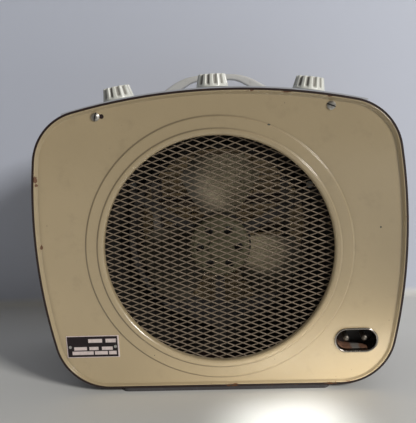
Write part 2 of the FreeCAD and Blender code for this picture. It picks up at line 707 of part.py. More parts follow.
def pressed_panel(label):
    """A dished sheet with a sloped border, two raised rings and a rolled lip round its opening."""
    body = new_body(label)
    rim = new_sketch(body)
    outline(rim)
    pad(body, rim, "panel_sheet")
    for kind, shift in (("AdditiveLoft", "panel_sheet"), ("SubtractiveLoft", "0")):
        upper = new_sketch(body, lift=f"-({shift})")
        outline(upper, "border_edge")
        lower = new_sketch(body, lift=f"-(field_depth + {shift})")
        outline(lower, "border_edge + border_slope")
        loft(body, kind, [upper, lower])
    hole = new_sketch(body, lift="-field_depth")
    circle(hole, "ring_foot")
    pocket(body, hole)
    first = "ring_step - field_depth"
    crest = "2 * ring_step - field_depth"
    turned(body, [
        ("ring_foot", "-field_depth"),
        ("ring_outer", first),
        ("ring_inner", first),
        ("ring_inner - ring_ramp", crest),
        ("opening_radius + lip_roll", crest),
        ("opening_radius + lip_shoulder", f"{crest} - lip_shoulder"),
        ("opening_radius", f"{crest} - lip_roll"),
        ("opening_radius", "-lip_depth"),
        ("opening_radius + panel_sheet", "-lip_depth"),
        ("opening_radius + panel_sheet", f"{crest} - lip_roll"),
        ("opening_radius + lip_roll", f"{crest} - panel_sheet"),
        ("ring_inner - ring_ramp", f"{crest} - panel_sheet"),
        ("ring_inner", f"{first} - panel_sheet"),
        ("ring_outer", f"{first} - panel_sheet"),
        ("ring_foot", "-field_depth - panel_sheet"),
    ])
    return body


def rear_panel():
    body = pressed_panel("rear_panel")
    place_behind_rear(body)
    inlet = new_sketch(body, lift="-field_depth")
    stadium(inlet, "inlet_run", "inlet_mouth + collar_wall + collar_fit", "inlet_x", "-inlet_drop")
    pocket(body, inlet, "panel_sheet")
    keyhole = new_sketch(body, lift="-field_depth")
    stadium(keyhole, "keyhole_run / 2", "screw_shank + screw_gap",
            "keyhole_run / 2 - screw_spread", "screw_rise")
    pocket(body, keyhole, "panel_sheet")
    holes = new_sketch(body, lift="-field_depth")
    circle(holes, "screw_shank + screw_gap", "screw_spread", "screw_rise")
    for sign in "-+":
        circle(holes, "plate_pin_radius + screw_gap", f"-plate_x {sign} (plate_width / 2 - plate_pin_inset)",
               "-plate_drop")
    pocket(body, holes, "panel_sheet")
    return body


def front_panel():
    body = pressed_panel("front_panel")
    place_behind_front(body)
    holes = new_sketch(body, lift="-field_depth")
    for sign in "-+":
        circle(holes, "screw_shank + screw_gap", f"{sign}screw_spread", "screw_rise")
    pocket(body, holes, "panel_sheet")
    return body


def panel_screws(label, name, front):
    """The two slotted screws of a panel, driven in from outside."""
    screws = []
    for side in (-1, 1):
        body = screw(name, "screw_head", "screw_head_height", "screw_shank", "screw_length", slotted=True)
        depth = "field_depth - casing_depth / 2"
        rotation = FRONT if front else REAR
        place(body, f"{side} * screw_spread", f"-({depth})" if front else depth,
              f"{AXIS} + screw_rise", rotation)
        screws.append(body)
    return grouped(label, screws)


def panel_nuts():
    """Clip nuts on the inner faces of both ledges."""
    nuts = []
    for front in (False, True):
        for side in (-1, 1):
            body = new_body("panel_nut")
            depth = f"{FIELD_BACK} + ledge_sheet - casing_depth / 2"
            rotation = FRONT if front else REAR
            place(body, f"{side} * screw_spread", f"-({depth})" if front else depth,
                  f"{AXIS} + screw_rise", rotation)
            sketch = new_sketch(body)
            rectangle(sketch, "-nut_side / 2", "-nut_side / 2", "nut_side / 2", "nut_side / 2")
            circle(sketch, "screw_shank + screw_gap / 4")
            pad(body, sketch, "nut_sheet")
            nuts.append(body)
    return grouped("panel_nuts", nuts)


# Intake grille, outlet guard and their clamp rings

def rear_grille():
    """Expanded metal: one disc with staggered diamond gaps."""
    half_long = number("mesh_long / 2")
    half_short = number("mesh_short / 2")
    radius = number("mesh_radius")
    reach = number("mesh_radius - mesh_rim")
    shrink = 1 - number("mesh_strand / 2") * math.hypot(half_long, half_short) / (half_long * half_short)
    gap_long, gap_short = half_long * shrink, half_short * shrink
    gaps = []
    for row in range(-int(reach / half_short), int(reach / half_short) + 1):
        for column in range(-int(reach / half_long), int(reach / half_long) + 1):
            x, y = column * half_long, row * half_short
            farthest = max(math.hypot(abs(x) + gap_long, y), math.hypot(x, abs(y) + gap_short))
            if (row + column) % 2 == 0 and farthest < reach:
                tips = [Vector(x + gap_long, y, 0), Vector(x, y + gap_short, 0),
                        Vector(x - gap_long, y, 0), Vector(x, y - gap_short, 0)]
                gaps.append(Part.makePolygon(tips + tips[:1]))
    rim = Part.Wire(Part.Circle(Vector(), UP, radius).toShape())
    net = Part.Face([rim] + gaps)
    net.validate()
    piece = doc.addObject("Part::Feature", "rear_grille")
    piece.Label = "rear_grille"
    piece.Shape = net.extrude(Vector(0, 0, -number("mesh_sheet")))
    place_behind_rear(piece, "lip_depth")
    print("grille gaps", len(gaps))
    return piece


def clamp_ring(label):
    """A stepped ring that presses the grille or guard against the lip from behind."""
    body = new_body(label)
    wall = "mesh_radius + mesh_fit"
    flange = "ring_outer - clamp_margin"
    turned(body, [
        ("clamp_inner", "-mesh_back"),
        (wall, "-mesh_back"),
        (wall, f"-{RING_BACK}"),
        (flange, f"-{RING_BACK}"),
        (flange, f"-{RING_BACK} - clamp_sheet"),
        (f"{wall} + clamp_sheet", f"-{RING_BACK} - clamp_sheet"),
        (f"{wall} + clamp_sheet", "-mesh_back - clamp_sheet"),
        ("clamp_inner", "-mesh_back - clamp_sheet"),
    ])
    return body


def front_guard():
    """A rim with sloped slats, which throw the air upwards, and two upright tie bars."""
    frame = new_body("guard_frame")
    place_behind_front(frame)
    rim = new_sketch(frame, lift="-lip_depth")
    circle(rim, "mesh_radius")
    circle(rim, "guard_rim")
    pad(frame, rim, "mesh_sheet")
    reach = "(guard_rim + slat_sheet)"
    ties = new_sketch(frame, lift="tie_depth - mesh_back")
    half = f"sqrt({reach}^2 - tie_spread^2)"
    for sign in "-+":
        rectangle(ties, f"{sign}tie_spread - slat_sheet / 2", f"-{half}",
                  f"{sign}tie_spread + slat_sheet / 2", half)
    pad(frame, ties, "tie_depth")
    slats = new_body("guard_slats")
    place_behind_front(slats)
    edges = new_sketch(slats, "YZ_Plane", f"-{reach}")
    for index in range(int(number("slat_count"))):
        back = f"({index} - (slat_count - 1) / 2) * slat_pitch - slat_rise / 2"
        front = f"{back} + slat_rise"
        polygon(edges, [
            (back, "-mesh_back"), (f"{back} + slat_sheet", "-mesh_back"),
            (f"{front} + slat_sheet", "-guard_front"), (front, "-guard_front"),
        ])
    pad(slats, edges, f"2 * {reach}", inwards=False)
    bound_disc = cylinder("guard_disc", reach, "mesh_back")
    place(bound_disc, "0", "casing_depth / 2", AXIS, REAR)
    trimmed = doc.addObject("Part::Common", "guard_louvres")
    trimmed.Base = slats
    trimmed.Tool = bound_disc
    guard = doc.addObject("Part::MultiFuse", "front_guard")
    guard.Label = "front_guard"
    guard.Shapes = [frame, trimmed]
    return guard


# Rating plate and appliance inlet

def rating_plate():
    body = new_body("rating_plate")
    place_behind_rear(body, "field_depth - plate_sheet", "-plate_x", "-plate_drop")
    sketch = new_sketch(body)
    rectangle(sketch, "-plate_width / 2", "-plate_height / 2", "plate_width / 2", "plate_height / 2")
    for sign in "-+":
        circle(sketch, "plate_pin_radius + screw_gap", f"{sign}(plate_width / 2 - plate_pin_inset)")
    pad(body, sketch, "plate_sheet")
    return body


def plate_pins():
    pins = []
    for side in (-1, 1):
        body = screw("plate_pin", "plate_pin_head", "plate_pin_rise", "plate_pin_radius", "plate_pin_length")
        place_behind_rear(body, "field_depth - plate_sheet",
                          f"{side} * (plate_width / 2 - plate_pin_inset) - plate_x", "-plate_drop")
        pins.append(body)
    return grouped("plate_pins", pins)


def inlet_body(label):
    """A body on the panel's field with its origin in the middle of the inlet."""
    body = new_body(label)
    place_behind_rear(body, "field_depth", "inlet_x", "-inlet_drop")
    return body


def inlet_collar():
    body = inlet_body("inlet_collar")
    flange = new_sketch(body)
    stadium(flange, "inlet_run", "inlet_radius")
    pad(body, flange, "collar_rise", inwards=False)
    skirt = new_sketch(body)
    stadium(skirt, "inlet_run", "inlet_mouth + collar_wall")
    pad(body, skirt, "collar_length")
    mouth = new_sketch(body, lift="collar_rise")
    stadium(mouth, "inlet_run", "inlet_mouth")
    pocket(body, mouth)
    return body


def inlet_block():
    body = inlet_body("inlet_block")
    sketch = new_sketch(body, lift="-block_depth")
    stadium(sketch, "inlet_run", "inlet_mouth - collar_fit")
    for sign in "-+":
        circle(sketch, "inlet_pin_radius", f"{sign}inlet_pin_spread / 2")
    pad(body, sketch, "block_length")
    return body


def inlet_pins():
    pins = []
    for side in (-1, 1):
        body = new_body("inlet_pin")
        place_behind_rear(body, "field_depth + inlet_pin_depth",
                          f"inlet_x + {side} * inlet_pin_spread / 2", "-inlet_drop")
        tail = "block_depth + block_length + inlet_pin_tail - inlet_pin_depth"
        turned(body, [("0", f"-({tail})"), ("inlet_pin_radius", f"-({tail})"),
                      ("inlet_pin_radius", "-inlet_pin_radius / 2"),
                      ("inlet_pin_radius / 2", "0"), ("0", "0")])
        pins.append(body)
    return grouped("inlet_pins", pins)


def inlet_springs():
    """Two bowed earth strips, one above and one below the pins."""
    strips = []
    for outward, inward in ("+-", "-+"):
        body = inlet_body("inlet_spring")
        sketch = new_sketch(body, "YZ_Plane", "-spring_width / 2")
        seat = f"{outward}(inlet_mouth - collar_fit)"
        bow = f"{seat} {inward} spring_bow"
        middle = "-(spring_depth + block_depth) / 2"
        polygon(sketch, [
            (seat, "-spring_depth"), (bow, middle), (seat, "-block_depth"),
            (f"{seat} {inward} spring_sheet", "-block_depth"),
            (f"{bow} {inward} spring_sheet", middle),
            (f"{seat} {inward} spring_sheet", "-spring_depth"),
        ])
        pad(body, sketch, "spring_width", inwards=False)
        strips.append(body)
    return grouped("inlet_springs", strips)


# Crown

def plate_height(across):
    """Height of the top plate's upper face above the fan axis at a place across the crown."""
    return f"(sqrt({PLATE_CROWN}^2 - ({across})^2) + {CROWN_CENTRE})"


def top_plate():
    body = new_body("top_plate_blank")
    place_behind_rear(body)
    sketch = new_sketch(body, lift="-top_plate_margin")
    centre = Vector(0, number(CROWN_CENTRE), 0)
    half = number("top_plate_half")
    ends = {}
    for radius in (f"{CASING_CROWN} + seat_gap", PLATE_CROWN):
        rise = math.sqrt(number(radius) ** 2 - half ** 2)
        ends[radius] = Vector(half, centre.y + rise, 0)
    under, upper = ends.values()
    made = sketch.addGeometry([
        arc(centre, under, mirrored(under)),
        Part.LineSegment(mirrored(under), mirrored(upper)),
        arc(centre, upper, mirrored(upper)),
        Part.LineSegment(upper, under),
    ])
    rules = closed_strip(made)
    for index, radius in zip((0, 2), ends):
        rules += pinned(made[index], 3, "0", CROWN_CENTRE)
        rules.append(("Radius", (made[index],), radius))
        rules.append(("DistanceX", (-1, 1, made[index], 1), "top_plate_half"))
        rules.append(("DistanceX", (-1, 1, made[index], 2), "-top_plate_half"))
    constrain(sketch, rules)
    pad(body, sketch, "casing_depth - 2 * top_plate_margin")
    cutters = neck_holes("top_plate") + handle_holes("top_plate", "handle_screw_radius + screw_gap")
    return drilled("top_plate", body, cutters)


def carry_handle():
    """A moulded bow with wide feet, cut to sit on the crown."""
    body = new_body("handle_bow")
    place_behind_rear(body, "handle_depth - handle_width / 2")
    sketch = new_sketch(body)
    top = f"{plate_height('0')} + handle_rise"
    under = f"{plate_height('0')} + handle_gap"
    foot_outer = f"{plate_height('handle_foot_outer')} + seat_gap"
    foot_inner = f"{plate_height('handle_foot_inner')} + seat_gap"
    polygon(sketch, [
        ("-handle_foot_outer", foot_outer), ("-handle_foot_inner", foot_inner),
        ("-handle_elbow", under), ("handle_elbow", under),
        ("handle_foot_inner", foot_inner), ("handle_foot_outer", foot_outer),
        ("handle_shoulder", top), ("-handle_shoulder", top),
    ])
    blank = pad(body, sketch, "handle_width")

    def along_depth(edge, across, height):
        spot = edge.CenterOfMass
        return abs(abs(spot.x) - number(across)) < NEAR and abs(spot.y - number(height)) < NEAR

    bow = rounded(body, blank, "handle_bow", lambda edge: along_depth(edge, "handle_shoulder", top))
    arch = rounded(body, bow, "handle_inner_bow", lambda edge: along_depth(edge, "handle_elbow", under))
    foot_level = number(foot_inner) + NEAR

    def on_a_side(edge):
        return edge.BoundBox.ZLength < NEAR and edge.BoundBox.YMax > foot_level

    rounded(body, arch, "handle_round", on_a_side)
    return drilled("carry_handle", body, handle_pilots())


def handle_pilots():
    """Blind holes for the handle screws."""
    pilots = []
    for side in (-1, 1):
        pilot = cylinder("handle_pilot", "handle_screw_radius + screw_gap / 4", "handle_screw_length")
        place(pilot, f"{side} * handle_screw_spread", "handle_depth - casing_depth / 2",
              f"{AXIS} + {HANDLE_SEAT} + screw_gap")
        pilots.append(pilot)
    return pilots


def handle_screws():
    screws = []
    for side in (-1, 1):
        body = screw("handle_screw", "handle_screw_head", "handle_screw_head_height",
                     "handle_screw_radius", "handle_screw_length")
        place(body, f"{side} * handle_screw_spread", "handle_depth - casing_depth / 2",
              f"{AXIS} + {HANDLE_SEAT}", Rotation(Vector(1, 0, 0), 180))
        screws.append(body)
    return grouped("handle_screws", screws)


# Controls under the crown

BODY_TOP = "(-casing_wall - control_seat)"
NECK_TOP = f"({PLATE_RISE} + neck_rise)"
KNOB_BASE = f"({PLATE_RISE} + knob_gap)"
KNOB_TOP = f"({KNOB_BASE} + knob_height)"
KNOB_CEILING = f"({KNOB_TOP} - knob_wall_top)"


def control(label, side, round_body):
    """A switch or thermostat with its neck through the crown and a bore for its spindle."""
    body = new_body(label)
    place_on_crown(body, side)
    case = new_sketch(body, lift=BODY_TOP)
    if round_body:
        circle(case, "control_half")
    else:
        rectangle(case, "-control_half", "-control_half", "control_half", "control_half")
    pad(body, case, "control_height")
    neck = new_sketch(body, lift=BODY_TOP)
    circle(neck, "neck_radius")
    pad(body, neck, f"{NECK_TOP} - {BODY_TOP}", inwards=False)
    bore = new_sketch(body, lift=NECK_TOP)
    circle(bore, "spindle_radius + running_fit")
    pocket(body, bore, f"{NECK_TOP} - {BODY_TOP} + control_bore")
    return body


def spindle(label, side):
    start = f"({BODY_TOP} - control_bore + spindle_end)"
    rod = cylinder(label, "spindle_radius", f"{KNOB_CEILING} - {start} - spindle_fit")
    place_on_crown(rod, side, start)
    return rod


def hexagon(sketch, corner):
    """A six-sided outline of a given corner radius."""
    turns = [f"({index} * 360 / 6)" for index in range(6)]
    polygon(sketch, [(f"{corner} * cos{turn}", f"{corner} * sin{turn}") for turn in turns])


def control_nuts():
    nuts = []
    for side in (-1, 0, 1):
        body = new_body("control_nut")
        place_on_crown(body, side, f"{PLATE_RISE} + seat_gap")
        sketch = new_sketch(body)
        hexagon(sketch, "control_nut")
        circle(sketch, "neck_radius + seat_gap")
        pad(body, sketch, "control_nut_height", inwards=False)
        nuts.append(body)
    return grouped("control_nuts", nuts)


def knob(label, side):
    """A tapered knob with flutes that end above its base, hollow underneath round its boss."""
    body = new_body(label)
    place_on_crown(body, side)
    boss_end = f"{NECK_TOP} + knob_boss_gap"
    bore = "spindle_radius + spindle_fit"
    turned(body, [
        ("knob_base", KNOB_BASE), ("knob_crown", f"{KNOB_TOP} - knob_edge"),
        ("knob_crown - knob_edge", KNOB_TOP), ("0", KNOB_TOP),
        ("0", KNOB_CEILING), (bore, KNOB_CEILING), (bore, boss_end), ("knob_boss", boss_end),
        ("knob_boss", KNOB_CEILING), ("knob_hollow", KNOB_CEILING), ("knob_hollow", KNOB_BASE),
    ])
    flute = new_sketch(body, "YZ_Plane", "flute_floor")
    low, high = f"{KNOB_BASE} + flute_end", f"{KNOB_TOP} + knob_edge"
    polygon(flute, [
        ("flute_radius", high), ("-flute_radius", high), ("-flute_radius", f"{low} + flute_radius"),
        ("-flute_radius / 2", low), ("flute_radius / 2", low), ("flute_radius", f"{low} + flute_radius"),
    ])
    run = pocket(body, flute, "knob_base - flute_floor + knob_edge")
    run.Reversed = True
    polar(body, [run], "flute_count")
    return body


# Motor and fan

def motor_body(label, depth="0", turn=0.0):
    body = new_body(label)
    place_behind_rear(body, depth, turn=turn)
    return body


def motor_can():
    body = motor_body("motor_can", "can_depth")
    sketch = new_sketch(body)
    circle(sketch, "motor_radius")
    circle(sketch, "motor_radius - can_wall")
    pad(body, sketch, "can_length")
    return body


def motor_rear_bell():
    """A domed cap with a ring of vents and a blind boss for the bearing."""
    body = motor_body("motor_rear_bell", "bell_depth")
    seat = "bearing_radius"
    turned(body, [
        ("0", "bell_boss_rise"), ("bell_boss", "bell_boss_rise"), ("bell_boss", "0"),
        ("motor_radius - bell_round", "0"), ("motor_radius - bell_shoulder", "-bell_shoulder"),
        ("motor_radius", "-bell_round"),
        ("motor_radius", "-bell_length"), ("motor_radius - can_wall", "-bell_length"),
        ("motor_radius - can_wall", "-bell_round"), ("motor_radius - bell_round", "-bell_wall"),
        ("bell_boss", "-bell_wall"),
        ("bell_boss", "bell_boss_rise - bearing_cover - bearing_length"),
        (seat, "bell_boss_rise - bearing_cover - bearing_length"),
        (seat, "bell_boss_rise - bearing_cover"), ("0", "bell_boss_rise - bearing_cover"),
    ])
    vent = new_sketch(body)
    circle(vent, "vent_radius", "vent_ring")
    hole = pocket(body, vent, "bell_wall")
    polar(body, [hole], "vent_count")
    return body


def motor_front_bell():
    """A shallow cap with the front bearing's seat."""
    body = motor_body("motor_front_bell", "front_bell_depth")
    end = "front_bell_length"
    turned(body, [
        ("motor_radius - can_wall", "0"), ("motor_radius", "0"), ("motor_radius", f"bell_wall - {end}"),
        ("motor_radius - bell_wall", f"-{end}"), ("bearing_radius", f"-{end}"),
        ("bearing_radius", f"bearing_length - {end}"), ("bell_boss", f"bearing_length - {end}"),
        ("bell_boss", f"bell_wall - {end}"), ("motor_radius - can_wall", f"bell_wall - {end}"),
    ])
    return body


REAR_BEARING = "(bell_depth - bell_boss_rise + bearing_cover)"


def motor_bearings():
    bushes = []
    for depth in (REAR_BEARING, "(front_bell_end - bearing_length)"):
        body = motor_body("motor_bearing", depth)
        sketch = new_sketch(body)
        circle(sketch, "bearing_radius")
        circle(sketch, "shaft_radius + running_fit")
        pad(body, sketch, "bearing_length")
        bushes.append(body)
    return grouped("motor_bearings", bushes)


STACK_MIDDLE = "(can_depth + can_length / 2)"


def stator():
    body = motor_body("stator", f"{STACK_MIDDLE} - stator_length / 2")
    sketch = new_sketch(body)
    circle(sketch, "motor_radius - can_wall")
    circle(sketch, "stator_bore")
    pad(body, sketch, "stator_length")
    return body


def rotor_core():
    body = motor_body("rotor_core", f"{STACK_MIDDLE} - rotor_length / 2")
    sketch = new_sketch(body)
    circle(sketch, "rotor_radius")
    circle(sketch, "shaft_radius")
    pad(body, sketch, "rotor_length")
    return body


def motor_shaft():
    start = f"({REAR_BEARING} + bearing_play)"
    rod = cylinder("motor_shaft", "shaft_radius", f"{HUB_END} + fan_nut_height + shaft_end - {start}")
    place(rod, "0", f"{start} - casing_depth / 2", AXIS, Rotation(Vector(1, 0, 0), -90))
    return rod


def fan_nut():
    body = motor_body("fan_nut", HUB_END)
    sketch = new_sketch(body)
    hexagon(sketch, "fan_nut_radius")
    circle(sketch, "shaft_radius")
    pad(body, sketch, "fan_nut_height")
    return body


def blade_section(body, station):
    """A bowed strip across a blade at one radius, turned to its pitch."""
    radius, chord, pitch = f"blade_{station}", f"blade_{station}_chord", f"blade_{station}_angle"
    sketch = new_sketch(body, "YZ_Plane", radius)
    ends = []
    for sign, lift in (("-", "0"), ("", "0"), ("", "blade_sheet"), ("-", "blade_sheet")):
        ends.append((f"{sign}{chord} / 2 * cos({pitch}) - {lift} * sin({pitch})",
                     f"{sign}{chord} / 2 * sin({pitch}) + {lift} * cos({pitch})"))
    spots = [Vector(number(x), number(y), 0) for x, y in ends]
    bow = f"({chord} / (8 * blade_camber) + blade_camber * {chord} / 2)"
    sink = number(bow) - number(f"blade_camber * {chord}")
    normal = (spots[3] - spots[0]).normalize()
    centre = (spots[0] + spots[1]) / 2 - normal * sink
    lifted = centre + normal * number("blade_sheet")
    made = sketch.addGeometry([
        arc(centre, spots[1], spots[0]),
        Part.LineSegment(spots[0], spots[3]),
        arc(lifted, spots[2], spots[3]),
        Part.LineSegment(spots[2], spots[1]),
    ])
    rules = closed_strip(made)
    corners = ((made[1], 1), (made[3], 2), (made[3], 1), (made[1], 2))
    for (geometry, point), (x, y) in zip(corners, ends):
        rules += pinned(geometry, point, x, y)
    rules += [("Radius", (made[0],), bow), ("Radius", (made[2],), bow)]
    constrain(sketch, rules)
    return sketch


def fan():
    """A turned hub with broad, bowed and twisted blades."""
    body = motor_body("fan", "fan_depth", number("blade_phase"))
    turned(body, [
        ("shaft_radius", "-hub_length / 2"), ("hub_radius", "-hub_length / 2"),
        ("hub_radius", "hub_length / 2 - bell_wall"), ("hub_radius - bell_wall", "hub_length / 2"),
        ("shaft_radius", "hub_length / 2"),
    ])
    sections = [blade_section(body, station) for station in ("root", "waist", "belly", "tip")]
    blade = loft(body, "AdditiveLoft", sections)
    polar(body, [blade], "blade_count")
    return body


def motor_bracket():
    """A band round the can with arms that reach past the blades to the shroud."""
    body = motor_body("motor_bracket", turn=number("bracket_phase"))
    inner = "motor_radius + seat_gap"
    band_end = "-bracket_depth - bracket_band"
    turned(body, [
        (inner, "-bracket_depth"), (f"{inner} + bracket_sheet", "-bracket_depth"),
        (f"{inner} + bracket_sheet", band_end), (inner, band_end),
    ])
    outer = "bracket_reach + bracket_sheet"
    strips = [
        (f"{inner} + bracket_sheet / 2", outer, "bracket_depth", "bracket_sheet"),
        ("bracket_reach", outer, "bracket_depth", "baffle_depth - bracket_depth"),
        ("bracket_reach", "bracket_reach + bracket_foot", "baffle_depth - bracket_sheet", "bracket_sheet"),
    ]
    pads = []
    for start, end, depth, length in strips:
        sketch = new_sketch(body, lift=f"-({depth})")
        rectangle(sketch, start, "-bracket_width / 2", end, "bracket_width / 2")
        pads.append(pad(body, sketch, length))
    hole = new_sketch(body, lift="bracket_sheet - baffle_depth")
    circle(hole, "bracket_screw + screw_gap", "bracket_screw_reach")
    pads.append(pocket(body, hole, "bracket_sheet"))
    polar(body, pads, "bracket_count")
    return body


def bracket_turn(index):
    """Formula for the angle of one arm of the motor bracket."""
    return f"(bracket_phase + {index} * 360 / bracket_count)"


def bracket_screws():
    screws = []
    for index in range(int(number("bracket_count"))):
        body = screw("bracket_screw", "bracket_screw_head", "bracket_screw_height",
                     "bracket_screw", "bracket_screw_length")
        turn = bracket_turn(index)
        place_behind_rear(body, "baffle_depth - bracket_sheet", f"bracket_screw_reach * cos({turn})",
                          f"bracket_screw_reach * sin({turn})")
        screws.append(body)
    return grouped("bracket_screws", screws)


def fan_shroud():
    """A bulkhead across the casing with a bell mouth and throat round the fan."""
    body = new_body("fan_shroud")
    place_behind_rear(body)
    plate = new_sketch(body, lift="-baffle_depth")
    outline(plate, "shroud_gap - panel_fit")
    pad(body, plate, "shroud_sheet")
    hole = new_sketch(body, lift="-baffle_depth")
    circle(hole, "aperture_radius")
    for index in range(int(number("bracket_count"))):
        turn = bracket_turn(index)
        circle(hole, "bracket_screw + screw_gap", f"bracket_screw_reach * cos({turn})",
               f"bracket_screw_reach * sin({turn})")
    pocket(body, hole, "shroud_sheet")
    outer = "aperture_radius + shroud_sheet"
    turned(body, [
        ("aperture_radius + mouth_flare", "-mouth_depth"), (f"{outer} + mouth_flare", "-mouth_depth"),
        (outer, "-mouth_depth - mouth_flare"), (outer, "-throat_end"),
        ("aperture_radius", "-throat_end"), ("aperture_radius", "-mouth_depth - mouth_flare"),
    ])
    return body


# Heater

def heat_duct():
    body = new_body("heat_duct")
    place_behind_rear(body, "duct_start")
    sketch = new_sketch(body)
    circle(sketch, "duct_inner + duct_wall")
    circle(sketch, "duct_inner")
    pad(body, sketch, "casing_depth - mesh_back - clamp_sheet - duct_end_gap - duct_start")
    return body


def rod_rise(index):
    """Formula for the height of one rod of a row above the fan axis."""
    return f"({index} - (rod_count - 1) / 2) * rod_pitch"


def element_holders():
    """Two upright ceramic bars inside the duct with a square hole for every rod."""
    bars = []
    half = "(sqrt(duct_inner^2 - (holder_reach + holder_sheet)^2) - holder_gap)"
    hole = "(rod_radius + rod_gap)"
    for side in (-1, 1):
        body = new_body("element_holder")
        place(body, f"{side} * holder_reach", "-casing_depth / 2", AXIS)
        sketch = new_sketch(body, "YZ_Plane")
        rectangle(sketch, "element_back - holder_margin", f"-{half}", "element_front + holder_margin", half)
        for depth in ("element_back", "element_front"):
            for index in range(int(number("rod_count"))):
                rise = rod_rise(index)
                rectangle(sketch, f"{depth} - {hole}", f"{rise} - {hole}",
                          f"{depth} + {hole}", f"{rise} + {hole}")
        pad(body, sketch, "holder_sheet", inwards=side < 0)
        bars.append(body)
    return grouped("element_holders", bars)


def heating_element(label, depth):
    """A row of straight sheathed rods carried by the holders."""
    rods = []
    for index in range(int(number("rod_count"))):
        rod = cylinder(f"{label}_rod", "rod_radius", "2 * (holder_reach + holder_sheet)")
        place(rod, "-holder_reach - holder_sheet", f"{depth} - casing_depth / 2",
              f"{AXIS} + {rod_rise(index)}", Rotation(Vector(0, 1, 0), 90))
        rods.append(rod)
    return grouped(label, rods)


def thermal_cutout():
    body = new_body("thermal_cutout")
    place_behind_rear(body, "baffle_depth + shroud_sheet", rise="cutout_rise")
    plate = new_sketch(body)
    stadium(plate, "cutout_lug - cutout_radius / 2", "cutout_radius / 2")
    pad(body, plate, "cutout_sheet")
    can = new_sketch(body)
    circle(can, "cutout_radius")
    pad(body, can, "cutout_height")
    return body


def terminal_block():
    """A moulded block on the shroud with a row of screw wells."""
    body = new_body("terminal_block")
    place_behind_rear(body, "baffle_depth + shroud_sheet + terminal_height", "-terminal_x")
    sketch = new_sketch(body)
    rectangle(sketch, "-terminal_width / 2", "-terminal_length / 2",
              "terminal_width / 2", "terminal_length / 2")
    pad(body, sketch, "terminal_height", inwards=False)
    wells = new_sketch(body)
    for index in range(int(number("terminal_count"))):
        circle(wells, "terminal_well", "0", f"({index} - (terminal_count - 1) / 2) * terminal_pitch")
    cut = pocket(body, wells, "terminal_well_depth")
    cut.Reversed = True
    return body


# Assembly

pieces = [
    casing_shell(), foot_strip("rear_foot", -1), foot_strip("front_foot", 1),
    rear_panel(), front_panel(), panel_screws("rear_panel_screws", "rear_screw", False),
    panel_screws("front_panel_screws", "front_screw", True), panel_nuts(),
    rear_grille(), front_guard(), rating_plate(), plate_pins(),
    inlet_collar(), inlet_block(), inlet_pins(), inlet_springs(),
    top_plate(), carry_handle(), handle_screws(), control_nuts(),
    motor_can(), motor_rear_bell(), motor_front_bell(), motor_bearings(), stator(), motor_bracket(),
    bracket_screws(), rotor_core(), motor_shaft(), fan(), fan_nut(), fan_shroud(),
    heat_duct(), element_holders(), heating_element("rear_element", "element_back"),
    heating_element("front_element", "element_front"), thermal_cutout(), terminal_block(),
]
rear_ring = clamp_ring("rear_clamp_ring")
place_behind_rear(rear_ring)
front_ring = clamp_ring("front_clamp_ring")
place_behind_front(front_ring)
pieces += [rear_ring, front_ring]
for side, place_name, control_name in ((-1, "left", "heat_switch"), (0, "middle", "thermostat"),
                                       (1, "right", "fan_switch")):
    pieces.append(control(control_name, side, round_body=side == 0))
    pieces.append(spindle(f"{place_name}_spindle", side))
    pieces.append(knob(f"{place_name}_knob", side))

doc.recompute()
for thing in doc.Objects:
    if {"Invalid", "Error"} & set(thing.State):
        raise RuntimeError(f"{thing.Label} failed: {thing.State}")
for piece in pieces:
    if piece.Shape.isNull() or not piece.Shape.isValid() or not piece.Shape.Solids:
        raise RuntimeError(f"{piece.Label} has no valid solid")

os.makedirs("parts", exist_ok=True)
for piece in pieces:
    piece.Shape.exportStep(f"parts/{piece.Label}.step")
print(len(pieces), "pieces written")
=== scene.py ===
import json
import math

import bpy
from bpy.props import FloatProperty, FloatVectorProperty, IntProperty, PointerProperty
from bpy.types import Operator, Panel, PropertyGroup
from mathutils import Matrix, Vector


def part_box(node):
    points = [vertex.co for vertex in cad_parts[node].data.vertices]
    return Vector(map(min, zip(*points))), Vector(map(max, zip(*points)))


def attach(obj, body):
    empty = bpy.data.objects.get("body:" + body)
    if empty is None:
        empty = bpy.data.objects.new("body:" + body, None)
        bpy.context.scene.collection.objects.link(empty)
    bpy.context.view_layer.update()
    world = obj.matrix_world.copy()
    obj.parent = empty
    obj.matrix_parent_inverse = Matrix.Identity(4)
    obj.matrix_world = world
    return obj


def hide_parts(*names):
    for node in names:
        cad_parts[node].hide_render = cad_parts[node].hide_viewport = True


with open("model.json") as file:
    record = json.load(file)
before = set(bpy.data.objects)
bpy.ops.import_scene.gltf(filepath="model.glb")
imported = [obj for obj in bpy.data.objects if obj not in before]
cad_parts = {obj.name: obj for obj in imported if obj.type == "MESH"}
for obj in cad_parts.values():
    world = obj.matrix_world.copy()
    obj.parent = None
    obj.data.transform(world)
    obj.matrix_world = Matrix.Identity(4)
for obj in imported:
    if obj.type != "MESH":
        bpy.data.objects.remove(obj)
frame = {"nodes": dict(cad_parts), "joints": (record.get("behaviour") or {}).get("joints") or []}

bl_info = {
    "name": "Fan heater",
    "version": (1, 0, 0),
    "blender": (4, 5, 0),
    "location": "View3D > Sidebar > Heater",
    "description": "Dresses the frame of a fan heater and sets its studio",
    "category": "Object",
}

MM = 0.001
CASING = "casing"
NODES = frame["nodes"]
JOINTS = {joint["name"]: joint for joint in frame["joints"]}
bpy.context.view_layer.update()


def corners(node):
    """The low and the high corner of a CAD node's box."""
    return [Vector(corner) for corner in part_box(node)]


